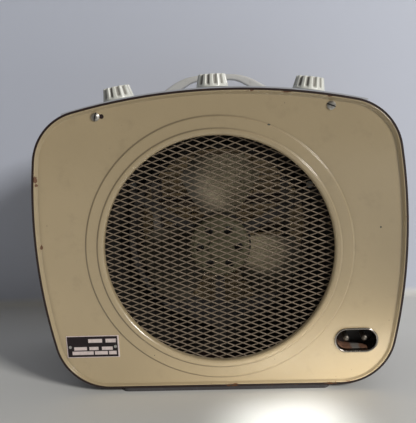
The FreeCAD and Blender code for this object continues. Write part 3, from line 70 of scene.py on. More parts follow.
# Places that the frame gives, in metres
AXIS_Z = JOINTS["fan_spin"]["pos_m"][2]
PANEL_LOW = corners("rear_panel")[0]
REAR_RIM = PANEL_LOW.y
FRONT_RIM = corners("front_panel")[1].y
RING_REACH = AXIS_Z - PANEL_LOW.z
GRILLE_LOW, GRILLE_HIGH = corners("rear_grille")
INLET_LOW, INLET_HIGH = corners("inlet_collar")
INLET_TALL = INLET_HIGH.z - INLET_LOW.z
INLET_RUN = (INLET_HIGH.x - INLET_LOW.x - INLET_TALL) / 2
PLATE_LOW, PLATE_HIGH = corners("rating_plate")
KNOB_LOW, KNOB_HIGH = corners("middle_knob")
KNOB_BASE = KNOB_HIGH.x
KNOB_HEIGHT = KNOB_HIGH.z - KNOB_LOW.z
SPINDLE_LOW, SPINDLE_HIGH = corners("middle_spindle")
KNOBS = {"left_knob": "heat_switch_turn", "middle_knob": "thermostat_turn", "right_knob": "fan_switch_turn"}

# The pressed panels: sheet, field behind the rim, border's foot inside the ring's reach, reach of the lip
PANEL_SHEET = 1.0 * MM
FIELD_DEPTH = 3.0 * MM
BORDER_FOOT = 5.0 * MM
LIP_REACH = 3 * MM

# Laps, fits and tolerances, and what follows from them
MESH_LAP = 5.5 * MM
MESH_INSET = 0.3 * MM
SPINDLE_FIT = 0.05 * MM
NEAR = 0.1 * MM
MERGE = 0.01 * MM
OPENING = (GRILLE_HIGH.x - GRILLE_LOW.x) / 2 - MESH_LAP
KNOB_BORE = (SPINDLE_HIGH.x - SPINDLE_LOW.x) / 2 + SPINDLE_FIT

# Feet of the panel's rings, inwards from the outer one's reach and outwards from the opening, where thin
# lines of grime and painted shade are drawn
RING_FEET = (RING_REACH - 6.3 * MM, OPENING + 6.5 * MM)

# Rust on the rear panel's border in millimetres, as place across and up, and reach across and up
RUST_MARKS = (
    (-165.5, 211, 1.6, 3.2), (-165, 205.5, 1.1, 1.4), (-166.5, 217, 0.8, 1.2), (-166.5, 146.5, 1.3, 2.2),
    (36, 281.5, 1.8, 0.8), (67, 279, 4.5, 0.9), (103.5, 273.3, 2.4, 0.8),
)
# Chips in the rear panel's enamel, in the same way
CHIP_MARKS = ((50, 251, 1.3, 0.8), (148, 154.5, 0.9, 0.9))

# Dust and painted light on the fan's blades, as pale pools where the blades are lit: place across and up, and
# reach
FAN_DUST_AND_LIGHT = ((24 * MM, AXIS_Z + 62 * MM, 52 * MM), (42 * MM, AXIS_Z - 16 * MM, 30 * MM))

# Bare fields of the plate in shares of its width and height, as left, bottom, right and top
PLATE_FIELDS = (
    (0.42, 0.68, 0.68, 0.84), (0.75, 0.68, 0.94, 0.84),
    (0.14, 0.34, 0.38, 0.48), (0.43, 0.34, 0.60, 0.48), (0.67, 0.34, 0.87, 0.48),
    (0.10, 0.13, 0.50, 0.28), (0.53, 0.13, 0.77, 0.28), (0.80, 0.13, 0.94, 0.28),
)

# Metals of the works: colour, roughness, share of rust, and the nodes they finish
METALS = {
    "zinc_steel": ((0.40, 0.39, 0.37), 0.24, 0.3, (
        "front_panel_screws", "panel_nuts", "handle_screws", "control_nuts", "bracket_screws", "fan_nut",
        "left_spindle", "middle_spindle", "right_spindle")),
    "pin_steel": ((0.78, 0.76, 0.73), 0.2, 0.0, ("plate_pins",)),
    "core_steel": ((0.30, 0.29, 0.28), 0.45, 0.2, ("stator", "rotor_core", "motor_shaft")),
    "sheath_steel": ((0.28, 0.22, 0.17), 0.5, 0.35, ("rear_element", "front_element")),
    # Painted shade: the duct's steel is darkened to stand for the dim inside of the casing
    "duct_steel": ((0.12, 0.11, 0.10), 0.5, 0.25, ("heat_duct",)),
    "contact_brass": ((0.62, 0.47, 0.24), 0.3, 0.05, ("motor_bearings",)),
    "pin_nickel": ((0.36, 0.33, 0.28), 0.38, 0.1, ("inlet_pins",)),
}

# Lesser colours: dust and dirt, ceramic, rubbed copper and insulation; the fan's pale dust is also painted
# light, and the dark dust inside, the grime of knob flutes and screw slots and the inlet's black are also
# painted shade
MOTOR_DUST, FAN_FLUFF_AND_LIGHT, INSIDE_DUST_AND_SHADE = (0.135, 0.122, 0.070), (0.66, 0.56, 0.38), (0.022, 0.018, 0.014)
MESH_DUST, HAZE = (0.17, 0.138, 0.10), (0.16, 0.13, 0.10)
KNOB_GRIME_AND_SHADE, SLOT_DIRT_AND_SHADE = (0.10, 0.08, 0.065), (0.010, 0.008, 0.006)
CERAMIC, SCORCH, RUBBED = (0.17, 0.15, 0.13), (0.08, 0.06, 0.045), (0.36, 0.34, 0.31)
INSULATION, INLET_BLACK = (0.025, 0.02, 0.018), (0.007, 0.005, 0.005)

# Half width of a flute in shares of its pitch, and share of its depth, for each of its two steps
FLUTE_STEPS = ((0.25, 0.55), (0.15, 0.45))
# Sides of a knob for each flute, cuts round the mesh, sides of the inlet's bead and steps round its collar
FLUTE_SIDES, MESH_SIDES, BEAD_SIDES, COLLAR_STEPS = 10, 40, 12, 48

# The studio's reach, and the colours of its paint, lights and air
STUDIO_REACH = 4.0
FLOOR_PAINT, WALL_PAINT = (0.74, 0.74, 0.71), (0.64, 0.68, 0.79)
DAYLIGHT, PATCH_LIGHT = (1.0, 0.98, 0.95), (1.0, 1.0, 0.99)
FLOOR_LIGHT, ROOM_LIGHT = (1.0, 0.97, 0.92), (1.0, 0.97, 0.93)
STUDIO_AIR, AIR_STRENGTH = (0.92, 0.90, 0.88), 0.14


# Settings

def length(label, text, default):
    """A length in metres that a user may change."""
    return FloatProperty(name=label, description=text, default=default, min=0,
                         subtype="DISTANCE", unit="LENGTH")


def angle(label, text, default):
    """An angle in radians that a user may change."""
    return FloatProperty(name=label, description=text, default=default, subtype="ANGLE", unit="ROTATION")


def tint(label, text, default):
    """A colour that a user may change, as linear red, green and blue."""
    return FloatVectorProperty(name=label, description=text, default=default, min=0, max=1, size=3,
                               subtype="COLOR")


class HeaterSizes(PropertyGroup):
    """Sizes of the pieces that are modelled here."""

    mesh_long: length("Diamond length", "Long way of a diamond of the mesh", 15.25 * MM)
    mesh_short: length("Diamond height", "Short way of a diamond of the mesh", 5.88 * MM)
    mesh_turn: angle("Mesh turn", "Turn of the mesh about the fan's axis", math.radians(2.4))
    strand_width: length("Strand width", "Width of a strand of the mesh", 1.05 * MM)
    strand_sheet: length("Strand thickness", "Thickness of a strand of the mesh", 0.5 * MM)
    strand_tilt: angle("Strand tilt", "Turn of a strand out of the mesh's plane", math.radians(54))
    fold: length("Fold", "Rounding of the pressed panels' folds", 0.4 * MM)
    lip_fold: length("Lip fold", "Rounding of the roll round the panels' openings", 0.85 * MM)
    border_side: length("Border side", "Slope taken off at the sides", 0.9 * MM)
    border_top: length("Border top", "Slope taken off at the top", 0.4 * MM)
    border_bottom: length("Border bottom", "Slope taken off at the bottom", 1.7 * MM)
    knob_crown: length("Knob crown", "Radius of a knob at its top", 12.6 * MM)
    knob_skirt: length("Knob skirt", "Plain rim of a knob below its flutes", 1.3 * MM)
    knob_wall: length("Knob wall", "Wall of a knob outside its hollow", 5.9 * MM)
    knob_boss: length("Knob boss", "Radius of the boss in a knob's hollow", 6.0 * MM)
    knob_boss_lift: length("Boss lift", "Lower end of the boss above a knob's base", 4.2 * MM)
    knob_edge: length("Knob edge", "Rounding of a knob's edges", 0.45 * MM)
    flute_count: IntProperty(name="Flutes", description="Flutes round a knob", default=12, min=3)
    flute_depth: length("Flute depth", "Depth of a knob's flutes", 2.2 * MM)
    bead: length("Inlet bead", "Radius of the rolled edge of the inlet's collar", 1.0 * MM)
    plate_border: length("Plate border", "Raised border of the plate", 0.8 * MM)
    # Its pale bare width also stands as painted highlight on the plate's right edge, which catches the light
    plate_end: length("Plate end", "Raised border of the plate at its right end", 1.5 * MM)
    plate_edge: length("Plate edge", "Rounding of the plate's edges", 0.12 * MM)
    strip_sheet: length("Strip sheet", "Thickness of the inlet's earth strips", 0.6 * MM)
    strip_bow: length("Strip bow", "Bow of the inlet's earth strips", 1.2 * MM)
    strip_end: length("Strip end", "Right end of the earth strips from the inlet's middle", 11.0 * MM)
    strip_taper: length("Strip taper", "Shorter depth of the earth strips at their right end", 9.5 * MM)
    strip_wrap: angle("Strip wrap", "Turn of the earth strips round the inlet's left end", math.radians(62))


class HeaterColours(PropertyGroup):
    """Colours of the finishes."""

    panel: tint("Panel", "Enamel of the pressed panels", (0.36, 0.285, 0.172))
    casing: tint("Casing", "Enamel of the casing", (0.022, 0.009, 0.008))
    top_plate: tint("Top plate", "Enamel of the top plate", (0.52, 0.54, 0.58))
    ivory: tint("Knobs", "Moulding of the knobs", (0.74, 0.75, 0.70))
    handle: tint("Handle", "Moulding of the handle", (0.62, 0.62, 0.61))
    mesh: tint("Mesh", "Enamel of the intake mesh", (0.27, 0.21, 0.152))
    # The motor's olive enamel, darkened also as painted shade of the dim inside of the casing
    motor: tint("Motor", "Enamel of the motor", (0.075, 0.066, 0.032))
    # Painted shade: the fan's sheet is kept dark to stand for its unlit blades
    fan: tint("Fan", "Sheet of the fan", (0.070, 0.060, 0.042))
    # Painted shade: the sheet inside is kept near black to stand for the dim inside of the casing
    inside: tint("Inside", "Sheet inside the casing", (0.012, 0.009, 0.007))
    rust: tint("Rust", "Rust on worn edges", (0.085, 0.036, 0.014))
    chip: tint("Chips", "Bare metal where the enamel is chipped", (0.055, 0.055, 0.042))
    screw: tint("Screws", "Steel of the rear panel's screws", (0.60, 0.58, 0.54))
    collar: tint("Collar", "Nickel of the inlet's collar", (0.50, 0.46, 0.41))
    copper: tint("Earth strips", "Copper of the inlet's earth strips", (0.36, 0.19, 0.12))
    rubber: tint("Feet", "Rubber of the feet", (0.07, 0.065, 0.068))
    print: tint("Plate print", "Dark print of the plate", (0.010, 0.004, 0.006))
    field: tint("Plate fields", "Bare fields of the plate", (0.82, 0.70, 0.67))


def sizes():
    """The sizes as they are set now."""
    return bpy.context.scene.heater_sizes


def colours():
    """The colours as they are set now."""
    return bpy.context.scene.heater_colours


# Shader sums

class Wire:
    """An output of a shader node that takes part in sums with numbers and other outputs."""

    def __init__(self, paint, socket):
        self.paint = paint
        self.socket = socket

    def __add__(self, other):
        return self.paint.math("ADD", self, other)

    def __sub__(self, other):
        return self.paint.math("SUBTRACT", self, other)

    def __rsub__(self, other):
        return self.paint.math("SUBTRACT", other, self)

    def __mul__(self, other):
        return self.paint.math("MULTIPLY", self, other)

    def __truediv__(self, other):
        return self.paint.math("DIVIDE", self, other)

    __radd__ = __add__
    __rmul__ = __mul__


class Paint:
    """A material being made: its shader and the place of each point on the object."""

    def __init__(self, name, constants):
        self.material = bpy.data.materials.new(name)
        self.material.use_nodes = True
        self.tree = self.material.node_tree
        self.shader = self.tree.nodes["Principled BSDF"]
        for socket, value in constants.items():
            self.shader.inputs[socket].default_value = value
        self.spot = self.node("ShaderNodeTexCoord", output="Object")
        place = {"Vector": self.spot}
        self.x, self.y, self.z = (
            self.node("ShaderNodeSeparateXYZ", inputs=place, output=axis) for axis in "XYZ")

    def node(self, kind, settings=None, inputs=None, output=0):
        """Adds a node with its settings and the values or links of its sockets, and gives one output."""
        made = self.tree.nodes.new(kind)
        for key, value in (settings or {}).items():
            setattr(made, key, value)
        for key, value in (inputs or {}).items():
            if isinstance(value, Wire):
                self.tree.links.new(value.socket, made.inputs[key])
            else:
                made.inputs[key].default_value = value
        return Wire(self, made.outputs[output])

    def math(self, operation, *values):
        """One Math node."""
        return self.node("ShaderNodeMath", {"operation": operation}, dict(enumerate(values)))

    def vector(self, operation, *values, output=0):
        """One Vector Math node."""
        return self.node("ShaderNodeVectorMath", {"operation": operation}, dict(enumerate(values)), output)

    def step(self, value, low, high):
        """Rises smoothly from 0 to 1 as a value goes from low to high, or falls if low is the larger."""
        if low > high:
            return 1 - self.step(value, high, low)
        return self.node("ShaderNodeMapRange", {"interpolation_type": "SMOOTHSTEP"},
                         {"Value": value, "From Min": low, "From Max": high})

    def noise(self, per_metre, detail=3.0, roughness=0.55, stretch=(1, 1, 1)):
        """Cloudy noise from 0 to 1, with so many blots in a metre."""
        place = self.node("ShaderNodeMapping", inputs={"Vector": self.spot, "Scale": stretch})
        return self.node("ShaderNodeTexNoise", inputs={"Vector": place, "Scale": per_metre, "Detail": detail,
                                                       "Roughness": roughness})

    def specks(self, per_metre, share):
        """Round specks: 1 inside the given share of each cell, else 0."""
        near = self.node("ShaderNodeTexVoronoi", inputs={"Vector": self.spot, "Scale": per_metre})
        return self.step(near, share, share * 0.6)

    def away(self, x, z, radius=1.0, reach=None):
        """Distance from a place across and up the object, in radii, or in its own reach upwards."""
        across, up = (self.x - x) / radius, (self.z - z) / (reach or radius)
        return self.math("SQRT", across * across + up * up)

    def blot(self, x, z, radius, reach=None, ragged=0.0):
        """A blot at a place across and up, round or with its own reach upwards, and ragged if asked."""
        away = self.away(x, z, radius, reach)
        if ragged:
            away = away + ragged * (self.noise(700, 4, 0.7) - 0.5)
        return self.step(away, 1.0, 0.95)

    def patch(self, low, high, soft):
        """A rectangle seen along the object's depth, from a low to a high corner across and up."""
        sides = [self.step(self.x, low[0] - soft, low[0]), self.step(self.x, high[0] + soft, high[0]),
                 self.step(self.z, low[1] - soft, low[1]), self.step(self.z, high[1] + soft, high[1])]
        return sides[0] * sides[1] * sides[2] * sides[3]

    def mix(self, share, first, second):
        """A colour between two, by a share from 0 to 1."""
        first, second = (value if isinstance(value, Wire) else (*value, 1) for value in (first, second))
        return self.node("ShaderNodeMix", {"data_type": "RGBA"}, {0: share, 6: first, 7: second}, output=2)

    def bump(self, height, depth):
        """A normal for a relief of the given depth in metres."""
        return self.node("ShaderNodeBump", inputs={"Height": height, "Distance": depth})

    def finish(self, **links):
        """Joins what changes over the surface to the shader and gives the material."""
        for key, wire in links.items():
            self.tree.links.new(wire.socket, self.shader.inputs[key.replace("_", " ").title()])
        return self.material


# Finishes

def shade(colour, factor):
    """A colour made darker or lighter."""
    return [min(1.0, factor * part) for part in colour]


def ring_feet_grime_and_shade(paint, base, colour):
    """Enamel with thin dark lines along the feet of the panel's rings: a little grime all round, and painted
    shade, stronger at the left, the side away from the light.
    """
    away = paint.away(0, AXIS_Z)
    # Painted shade: the lines darken most at the left, where the steps face away from the light
    share = 0.10 + 0.45 * paint.step(paint.x, 60 * MM, -30 * MM)
    for radius in RING_FEET:
        line = paint.step(paint.math("ABSOLUTE", away - radius), 1.0 * MM, 0.3 * MM)
        base = paint.mix(line * share, base, shade(colour, 0.25))
    return base


def edge_rust(paint, start, full):
    """Rust along an outer edge between two levels of y, more of it near the bottom, where it is damp."""
    edge = paint.step(paint.y, start, full) * (1 - paint.blot(0, AXIS_Z, RING_REACH))
    damp = 0.05 * paint.step(paint.z, 12 * MM, 3 * MM)
    return edge * paint.step(paint.noise(55, 5, 0.75) + damp, 0.60, 0.68)


def enamel(name, colour, gloss=0.4, rim=None, marks=(), chips=(), coat=0.8):
    """Sprayed enamel: faint mottling, orange peel, small chips, marks of rust, and a worn rim, which also
    brings thin lines of grime and painted shade along the rings' feet.

    The rim is given by the levels of y where its rust starts and where it is full.
    """
    paint = Paint(name, {"Coat Weight": coat, "Coat Roughness": 0.08})
    base = paint.mix(paint.noise(14, 4), shade(colour, 0.90), shade(colour, 1.08))
    grime = paint.step(paint.noise(55, 5, 0.65), 0.52, 0.80)
    base = paint.mix(grime * 0.22, base, shade(colour, 0.45))
    # Thin dark lines at the rings' feet: a little grime, and painted shade on the side away from the light
    if rim:
        base = ring_feet_grime_and_shade(paint, base, colour)
    worn = paint.specks(95, 0.055) * paint.step(paint.noise(23, 2), 0.52, 0.60)
    for x, z, radius, reach in chips:
        worn = paint.math("MAXIMUM", worn, paint.blot(x * MM, z * MM, radius * MM, reach * MM, 1.0))
    base = paint.mix(worn, base, colours().chip)
    rust = paint.mix(paint.noise(260, 4), colours().rust, shade(colours().rust, 1.9))
    spots = [paint.blot(x * MM, z * MM, radius * MM, reach * MM, 1.6) for x, z, radius, reach in marks]
    if rim:
        spots.append(edge_rust(paint, *rim))
    for spot in spots:
        base = paint.mix(spot, base, rust)
        worn = paint.math("MAXIMUM", worn, spot)
    peel = paint.noise(620, 2) - 1.6 * worn
    return paint.finish(base_color=base, roughness=gloss + 0.10 * grime + 0.45 * worn,
                        normal=paint.bump(peel, 0.06 * MM))


def moulding(name, colour, foot=None, axis=None):
    """Gloss moulding, a little yellowed, with grime and painted shade in the flutes of a knob on a foot along
    an axis.
    """
    paint = Paint(name, {"Coat Weight": 0.2, "Coat Roughness": 0.2})
    cloud = paint.noise(38, 4)
    yellowed = [min(1.0, part * warm) for part, warm in zip(colour, (1.06, 1.05, 1.0))]
    tone = paint.mix(cloud, shade(colour, 0.92), yellowed)
    dirt_and_shade = paint.step(paint.noise(240, 4, 0.7), 0.55, 0.85) * 0.35
    if foot is not None:
        # Painted shade with grime: the floors of the flutes are darkened by their depth, as where shade falls
        crown, depth = sizes().knob_crown, sizes().flute_depth
        away = paint.vector("SUBTRACT", paint.spot, foot)
        rise = paint.vector("DOT_PRODUCT", away, axis, output="Value")
        square = paint.vector("CROSS_PRODUCT", away, axis)
        radius = paint.vector("LENGTH", square, output="Value")
        sunk = KNOB_BASE - (KNOB_BASE - crown) / KNOB_HEIGHT * rise - radius
        below = paint.step(rise, 0.97 * KNOB_HEIGHT, 0.90 * KNOB_HEIGHT)
        dirt_and_shade = paint.math("MAXIMUM", dirt_and_shade, paint.step(sunk, 0.30 * depth, depth) * below * 0.75)
    tone = paint.mix(dirt_and_shade, tone, KNOB_GRIME_AND_SHADE)
    return paint.finish(base_color=tone, roughness=0.28 + 0.3 * dirt_and_shade + 0.08 * cloud,
                        normal=paint.bump(paint.noise(420, 2), 0.03 * MM))


def dusty(name, colour, dust, share=0.5, places=()):
    """A sheet or casting that has gathered dust and fibres, only round places across and up if they are
    given, where the pale dust also stands as painted light on the lit parts.
    """
    paint = Paint(name, {"Roughness": 0.6})
    film_and_light = paint.step(paint.noise(45, 5, 0.7), 0.30, 0.72) * share
    fluff_and_light = paint.step(paint.noise(420, 4, 0.75), 0.45, 0.72)
    dust_and_light_pool = 0.0
    # Pale pools round the given places: dust, and painted light where the fan's blades are lit
    for x, z, radius in places:
        dust_and_light_pool = paint.math("MAXIMUM", dust_and_light_pool, paint.step(paint.away(x, z), radius, 0.5 * radius))
    if places:
        film_and_light = (0.45 * share + 0.55 * film_and_light) * dust_and_light_pool
        fluff_and_light = fluff_and_light * dust_and_light_pool
    base = paint.mix(film_and_light, colour, dust)
    base = paint.mix(fluff_and_light * share * 0.6, base, shade(dust, 1.5))
    return paint.finish(base_color=base, roughness=0.55 + 0.35 * film_and_light, normal=paint.bump(fluff_and_light, 0.25 * MM))


def metal(name, colour, rough, rust, slots=()):
    """Plated metal with fine scratches, tarnish, a share of rust, and grime with painted shade in the slots
    of screws.

    A slot is given as its place across and up, and its turn from level.
    """
    paint = Paint(name, {"Metallic": 1.0})
    tarnish = paint.noise(130, 5, 0.65)
    stained = paint.step(paint.noise(210, 5, 0.7), 0.66 - 0.3 * rust, 0.92 - 0.3 * rust)
    scratch = paint.noise(900, 2, 0.5, (1, 1, 0.08))
    base = paint.mix(tarnish, shade(colour, 0.72), colour)
    base = paint.mix(stained, base, colours().rust)
    for x, z, turn in slots:
        # Painted shade: each slot is painted near black, as dark as the shade in it, with a little grime
        off = (paint.z - z) * math.cos(turn) - (paint.x - x) * math.sin(turn)
        dirt_and_shade = paint.step(paint.math("ABSOLUTE", off), 0.62 * MM, 0.50 * MM) * paint.blot(x, z, 6 * MM)
        base = paint.mix(dirt_and_shade, base, SLOT_DIRT_AND_SHADE)
        stained = paint.math("MAXIMUM", stained, dirt_and_shade)
    return paint.finish(base_color=base, roughness=rough + 0.22 * tarnish + 0.30 * stained,
                        metallic=1 - 0.8 * stained, normal=paint.bump(scratch + 2 * stained, 0.03 * MM))


def rubbed_copper(name, colour, middle, reach):
    """A copper strip, stained at its ends and rubbed to grey within a reach of its middle across."""
    paint = Paint(name, {"Metallic": 0.5})
    ragged = 4 * MM * (paint.noise(260, 4, 0.7) - 0.5)
    rubbed = paint.step(paint.math("ABSOLUTE", paint.x - middle) + ragged, reach, 0.5 * reach)
    stain = paint.step(paint.noise(300, 5, 0.7), 0.40, 0.70)
    base = paint.mix(stain, colour, shade(colour, 0.5))
    base = paint.mix(rubbed, base, RUBBED)
    return paint.finish(base_color=base, roughness=0.55 - 0.2 * rubbed, normal=paint.bump(stain, 0.05 * MM))


def plain_moulding(name, colour, rough=0.45, dust=0.35):
    """Dark moulded insulation with a fine grain and a haze of dust."""
    paint = Paint(name, {})
    haze = paint.step(paint.noise(160, 5, 0.7), 0.50, 0.85)
    base = paint.mix(haze * dust, colour, HAZE)
    return paint.finish(base_color=base, roughness=rough + 0.3 * haze,
                        normal=paint.bump(paint.noise(1500, 2), 0.04 * MM))


def ceramic(name):
    """Unglazed ceramic with scorching."""
    paint = Paint(name, {})
    scorch = paint.step(paint.noise(60, 4), 0.45, 0.75)
    base = paint.mix(scorch * 0.6, CERAMIC, SCORCH)
    return paint.finish(base_color=base, roughness=0.75 + 0.1 * scorch,
                        normal=paint.bump(paint.noise(700, 3), 0.1 * MM))


def rubber(name, colour):
    """Grey foot rubber, scuffed and dusty."""
    paint = Paint(name, {})
    scuff = paint.step(paint.noise(180, 5, 0.7), 0.48, 0.78)
    base = paint.mix(scuff * 0.5, colour, shade(colour, 2.0))
    return paint.finish(base_color=base, roughness=0.7 + 0.2 * scuff,
                        normal=paint.bump(paint.noise(1100, 2), 0.06 * MM))


def printed_plate(name):
    """A dark printed plate, worn and stained, with rows of bare fields.

    Its border is bare too, and wider at the right end, where the pale bare metal also stands as painted
    highlight on the edge that catches the light.
    """
    paint = Paint(name, {"Metallic": 0.0})
    low, high = PLATE_LOW, PLATE_HIGH
    wide, tall = high.x - low.x, high.z - low.z
    border, end = sizes().plate_border, sizes().plate_end
    # Painted highlight: the bare border reaches further at the right end, where the edge catches the light
    bare = 1 - paint.patch((low.x + border, low.z + border), (high.x - end, high.z - border), 0.2 * MM)
    for left, bottom, right, top in PLATE_FIELDS:
        field = paint.patch((low.x + left * wide, low.z + bottom * tall),
                            (low.x + right * wide, low.z + top * tall), 0.25 * MM)
        bare = paint.math("MAXIMUM", bare, field)
    wear = paint.step(paint.noise(330, 4, 0.7), 0.42, 0.72)
    dark = paint.mix(wear * 0.25, colours().print, shade(colours().print, 4))
    pale = paint.mix(wear * 0.35, colours().field, shade(colours().field, 0.45))
    return paint.finish(base_color=paint.mix(bare, dark, pale), roughness=0.34 + 0.2 * wear,
                        normal=paint.bump(bare + 0.3 * wear, 0.04 * MM))


def dress(material, *names):
    """Gives CAD nodes a finish."""
    for name in names:
        slots = NODES[name].data.materials
        slots.clear()
        slots.append(material)


# Modelling by hand

def deselect():
    """Leaves nothing selected."""
    bpy.ops.object.select_all(action="DESELECT")


def take(thing):
    """Selects one object alone and makes it active."""
    deselect()
    thing.select_set(True)
    bpy.context.view_layer.objects.active = thing


def active():
    """The object that the last operator made or worked on."""
    return bpy.context.view_layer.objects.active


def fix_place():
    """Moves the selected object's place, turn and scale into its mesh."""
    bpy.ops.object.transform_apply(location=True, rotation=True, scale=True)


def choose(thing, kind, test):
    """Selects only the vertices, edges or faces that a test picks, and goes into edit mode."""
    take(thing)
    mesh = thing.data
    for group in (mesh.vertices, mesh.edges, mesh.polygons):
        group.foreach_set("select", [False] * len(group))
    for item in {"VERT": mesh.vertices, "EDGE": mesh.edges, "FACE": mesh.polygons}[kind]:
        item.select = test(item)
    bpy.ops.object.mode_set(mode="EDIT")
    bpy.ops.mesh.select_mode(type=kind)


def leave():
    """Goes back to object mode."""
    bpy.ops.object.mode_set(mode="OBJECT")


def shift(thing, test, offset):
    """Moves the points of a mesh that a test picks."""
    choose(thing, "VERT", test)
    bpy.ops.transform.translate(value=offset)
    leave()


def extrude(offset):
    """Extrudes what is selected in edit mode."""
    bpy.ops.mesh.extrude_region_move(TRANSFORM_OT_translate={"value": offset})


def modify(thing, kind, **settings):
    """Adds a modifier and applies it."""
    take(thing)
    modifier = thing.modifiers.new(kind.title(), kind)
    for key, value in settings.items():
        setattr(modifier, key, value)
    bpy.ops.object.modifier_apply(modifier=modifier.name)


def repeat(thing, count, offset):
    """Repeats a mesh along an offset, so many times in all."""
    modify(thing, "ARRAY", count=count, use_relative_offset=False, use_constant_offset=True,
           constant_offset_displace=offset)


def cut_level(thing, place, normal, clear=False):
    """Cuts a mesh along a plane, and takes away what lies beyond it if asked."""
    take(thing)
    bpy.ops.object.mode_set(mode="EDIT")
    bpy.ops.mesh.select_all(action="SELECT")
    bpy.ops.mesh.bisect(plane_co=place, plane_no=normal, clear_outer=clear, use_fill=clear)
    leave()


def smooth(thing, degrees):
    """Shades a mesh smooth, apart from folds sharper than an angle."""
    take(thing)
    bpy.ops.object.shade_smooth_by_angle(angle=math.radians(degrees))


def settle(thing, name, material, replaced, body=CASING):
    """Fixes a piece's place, names it, gives it its finish and its body, and hides the node it stands for."""
    take(thing)
    fix_place()
    thing.name = name
    thing.data.name = name
    thing.data.materials.clear()
    thing.data.materials.append(material)
    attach(thing, body)
    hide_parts(replaced)


# Pressed panels and their screws

def merged_copy(node):
    """A copy of a CAD node whose loose triangles are merged."""
    piece = NODES[node].copy()
    piece.data = NODES[node].data.copy()
    piece.parent = None
    for key in list(piece.keys()):
        del piece[key]
    bpy.context.scene.collection.objects.link(piece)
    choose(piece, "VERT", lambda point: True)
    bpy.ops.mesh.remove_doubles(threshold=MERGE)
    bpy.ops.mesh.customdata_custom_splitnormals_clear()
    leave()
    return piece


def heads(node):
    """Middle across and up, and radius, of the two heads of a pair of fasteners."""
    low, high = corners(node)
    radius = (high.z - low.z) / 2
    return [(low.x + radius, low.z + radius, radius), (high.x - radius, low.z + radius, radius)]


def past_opening(start, end):
    """How far the middle of an edge lies outside the panels' opening."""
    middle = (start + end) / 2
    return math.hypot(middle.x, middle.z - AXIS_Z) - OPENING


def long_fold(start, end):
    """Leaves out the roll, the edges of screw holes, which are short, and those of the inlet's hole."""
    middle = (start + end) / 2
    at_inlet = INLET_LOW.x < middle.x < INLET_HIGH.x and INLET_LOW.z < middle.z < INLET_HIGH.z
    return (start - end).length > 2 * MM and not at_inlet and past_opening(start, end) >= LIP_REACH


def folds(mesh, least, test):
    """The edges where two faces meet at more than an angle, if a test of the edge's ends allows them."""
    sides = {}
    for face in mesh.polygons:
        for key in face.edge_keys:
            sides.setdefault(key, []).append(face.normal)
    found = set()
    for edge in mesh.edges:
        met = sides.get(edge.key, ())
        if len(met) == 2 and met[0].angle(met[1], 0) > least:
            if test(*(mesh.vertices[index].co for index in edge.key)):
                found.add(edge.index)
    return found


def slope_foot(mesh, rim):
    """The points at the foot of a pressed panel's sloped border, on both faces of its sheet."""
    found = set()
    for face in mesh.polygons:
        depths = {index: abs(mesh.vertices[index].co.y - rim) for index in face.vertices}
        if min(depths.values()) < PANEL_SHEET + NEAR:
            found.update(index for index, depth in depths.items() if depth > FIELD_DEPTH - NEAR)
    return {index for index in found if math.hypot(
        mesh.vertices[index].co.x, mesh.vertices[index].co.z - AXIS_Z) > RING_REACH - BORDER_FOOT}


def narrow_border(panel, rim):
    """Moves the foot of a pressed panel's sloped border outwards, most at the bottom."""
    size = sizes()
    feet = slope_foot(panel.data, rim)
    heights = [panel.data.vertices[index].co.z for index in feet]
    reach = max(panel.data.vertices[index].co.x for index in feet)
    low, tall = min(heights), max(heights) - min(heights)
    stretch = size.border_top + size.border_bottom
    choose(panel, "VERT", lambda point: point.index in feet)
    bpy.ops.transform.resize(value=(1 + size.border_side / reach, 1, 1 + stretch / tall),
                             center_override=(0, rim, low + tall * size.border_bottom / stretch))
    leave()


def close_hole(panel, x, z, radius):
    """Closes a hole under a fastener's head, on each level of the sheet."""
    def under_head(point):
        return math.hypot(point.co.x - x, point.co.z - z) < radius

    levels = {round(point.co.y, 5) for point in panel.data.vertices if under_head(point)}
    for level in sorted(levels):
        choose(panel, "VERT", lambda point: under_head(point) and abs(point.co.y - level) < NEAR / 2)
        bpy.ops.mesh.merge(type="CENTER")
        leave()


def softened(node, rim, fasteners):
    """A copy of a pressed panel with rounded folds and no holes under its fasteners' heads."""
    size = sizes()
    piece = merged_copy(node)
    for pair in fasteners:
        for x, z, radius in heads(pair):
            close_hole(piece, x, z, radius)
    choose(piece, "VERT", lambda point: True)
    bpy.ops.mesh.dissolve_degenerate(threshold=MERGE / 10)
    bpy.ops.mesh.delete_loose()
    leave()
    narrow_border(piece, rim)

    def at_lip(start, end):
        return past_opening(start, end) + abs((start.y + end.y) / 2 - rim) < LIP_REACH

    for width, test in ((size.lip_fold, at_lip), (size.fold, long_fold)):
        picked = folds(piece.data, math.radians(20), test)
        choose(piece, "EDGE", lambda edge: edge.index in picked)
        bpy.ops.mesh.bevel(offset=width, segments=3, affect="EDGES", clamp_overlap=False)
        leave()
    smooth(piece, 35)
    modify(piece, "WEIGHTED_NORMAL", mode="FACE_AREA", weight=100, keep_sharp=True)
    return piece


# Pieces

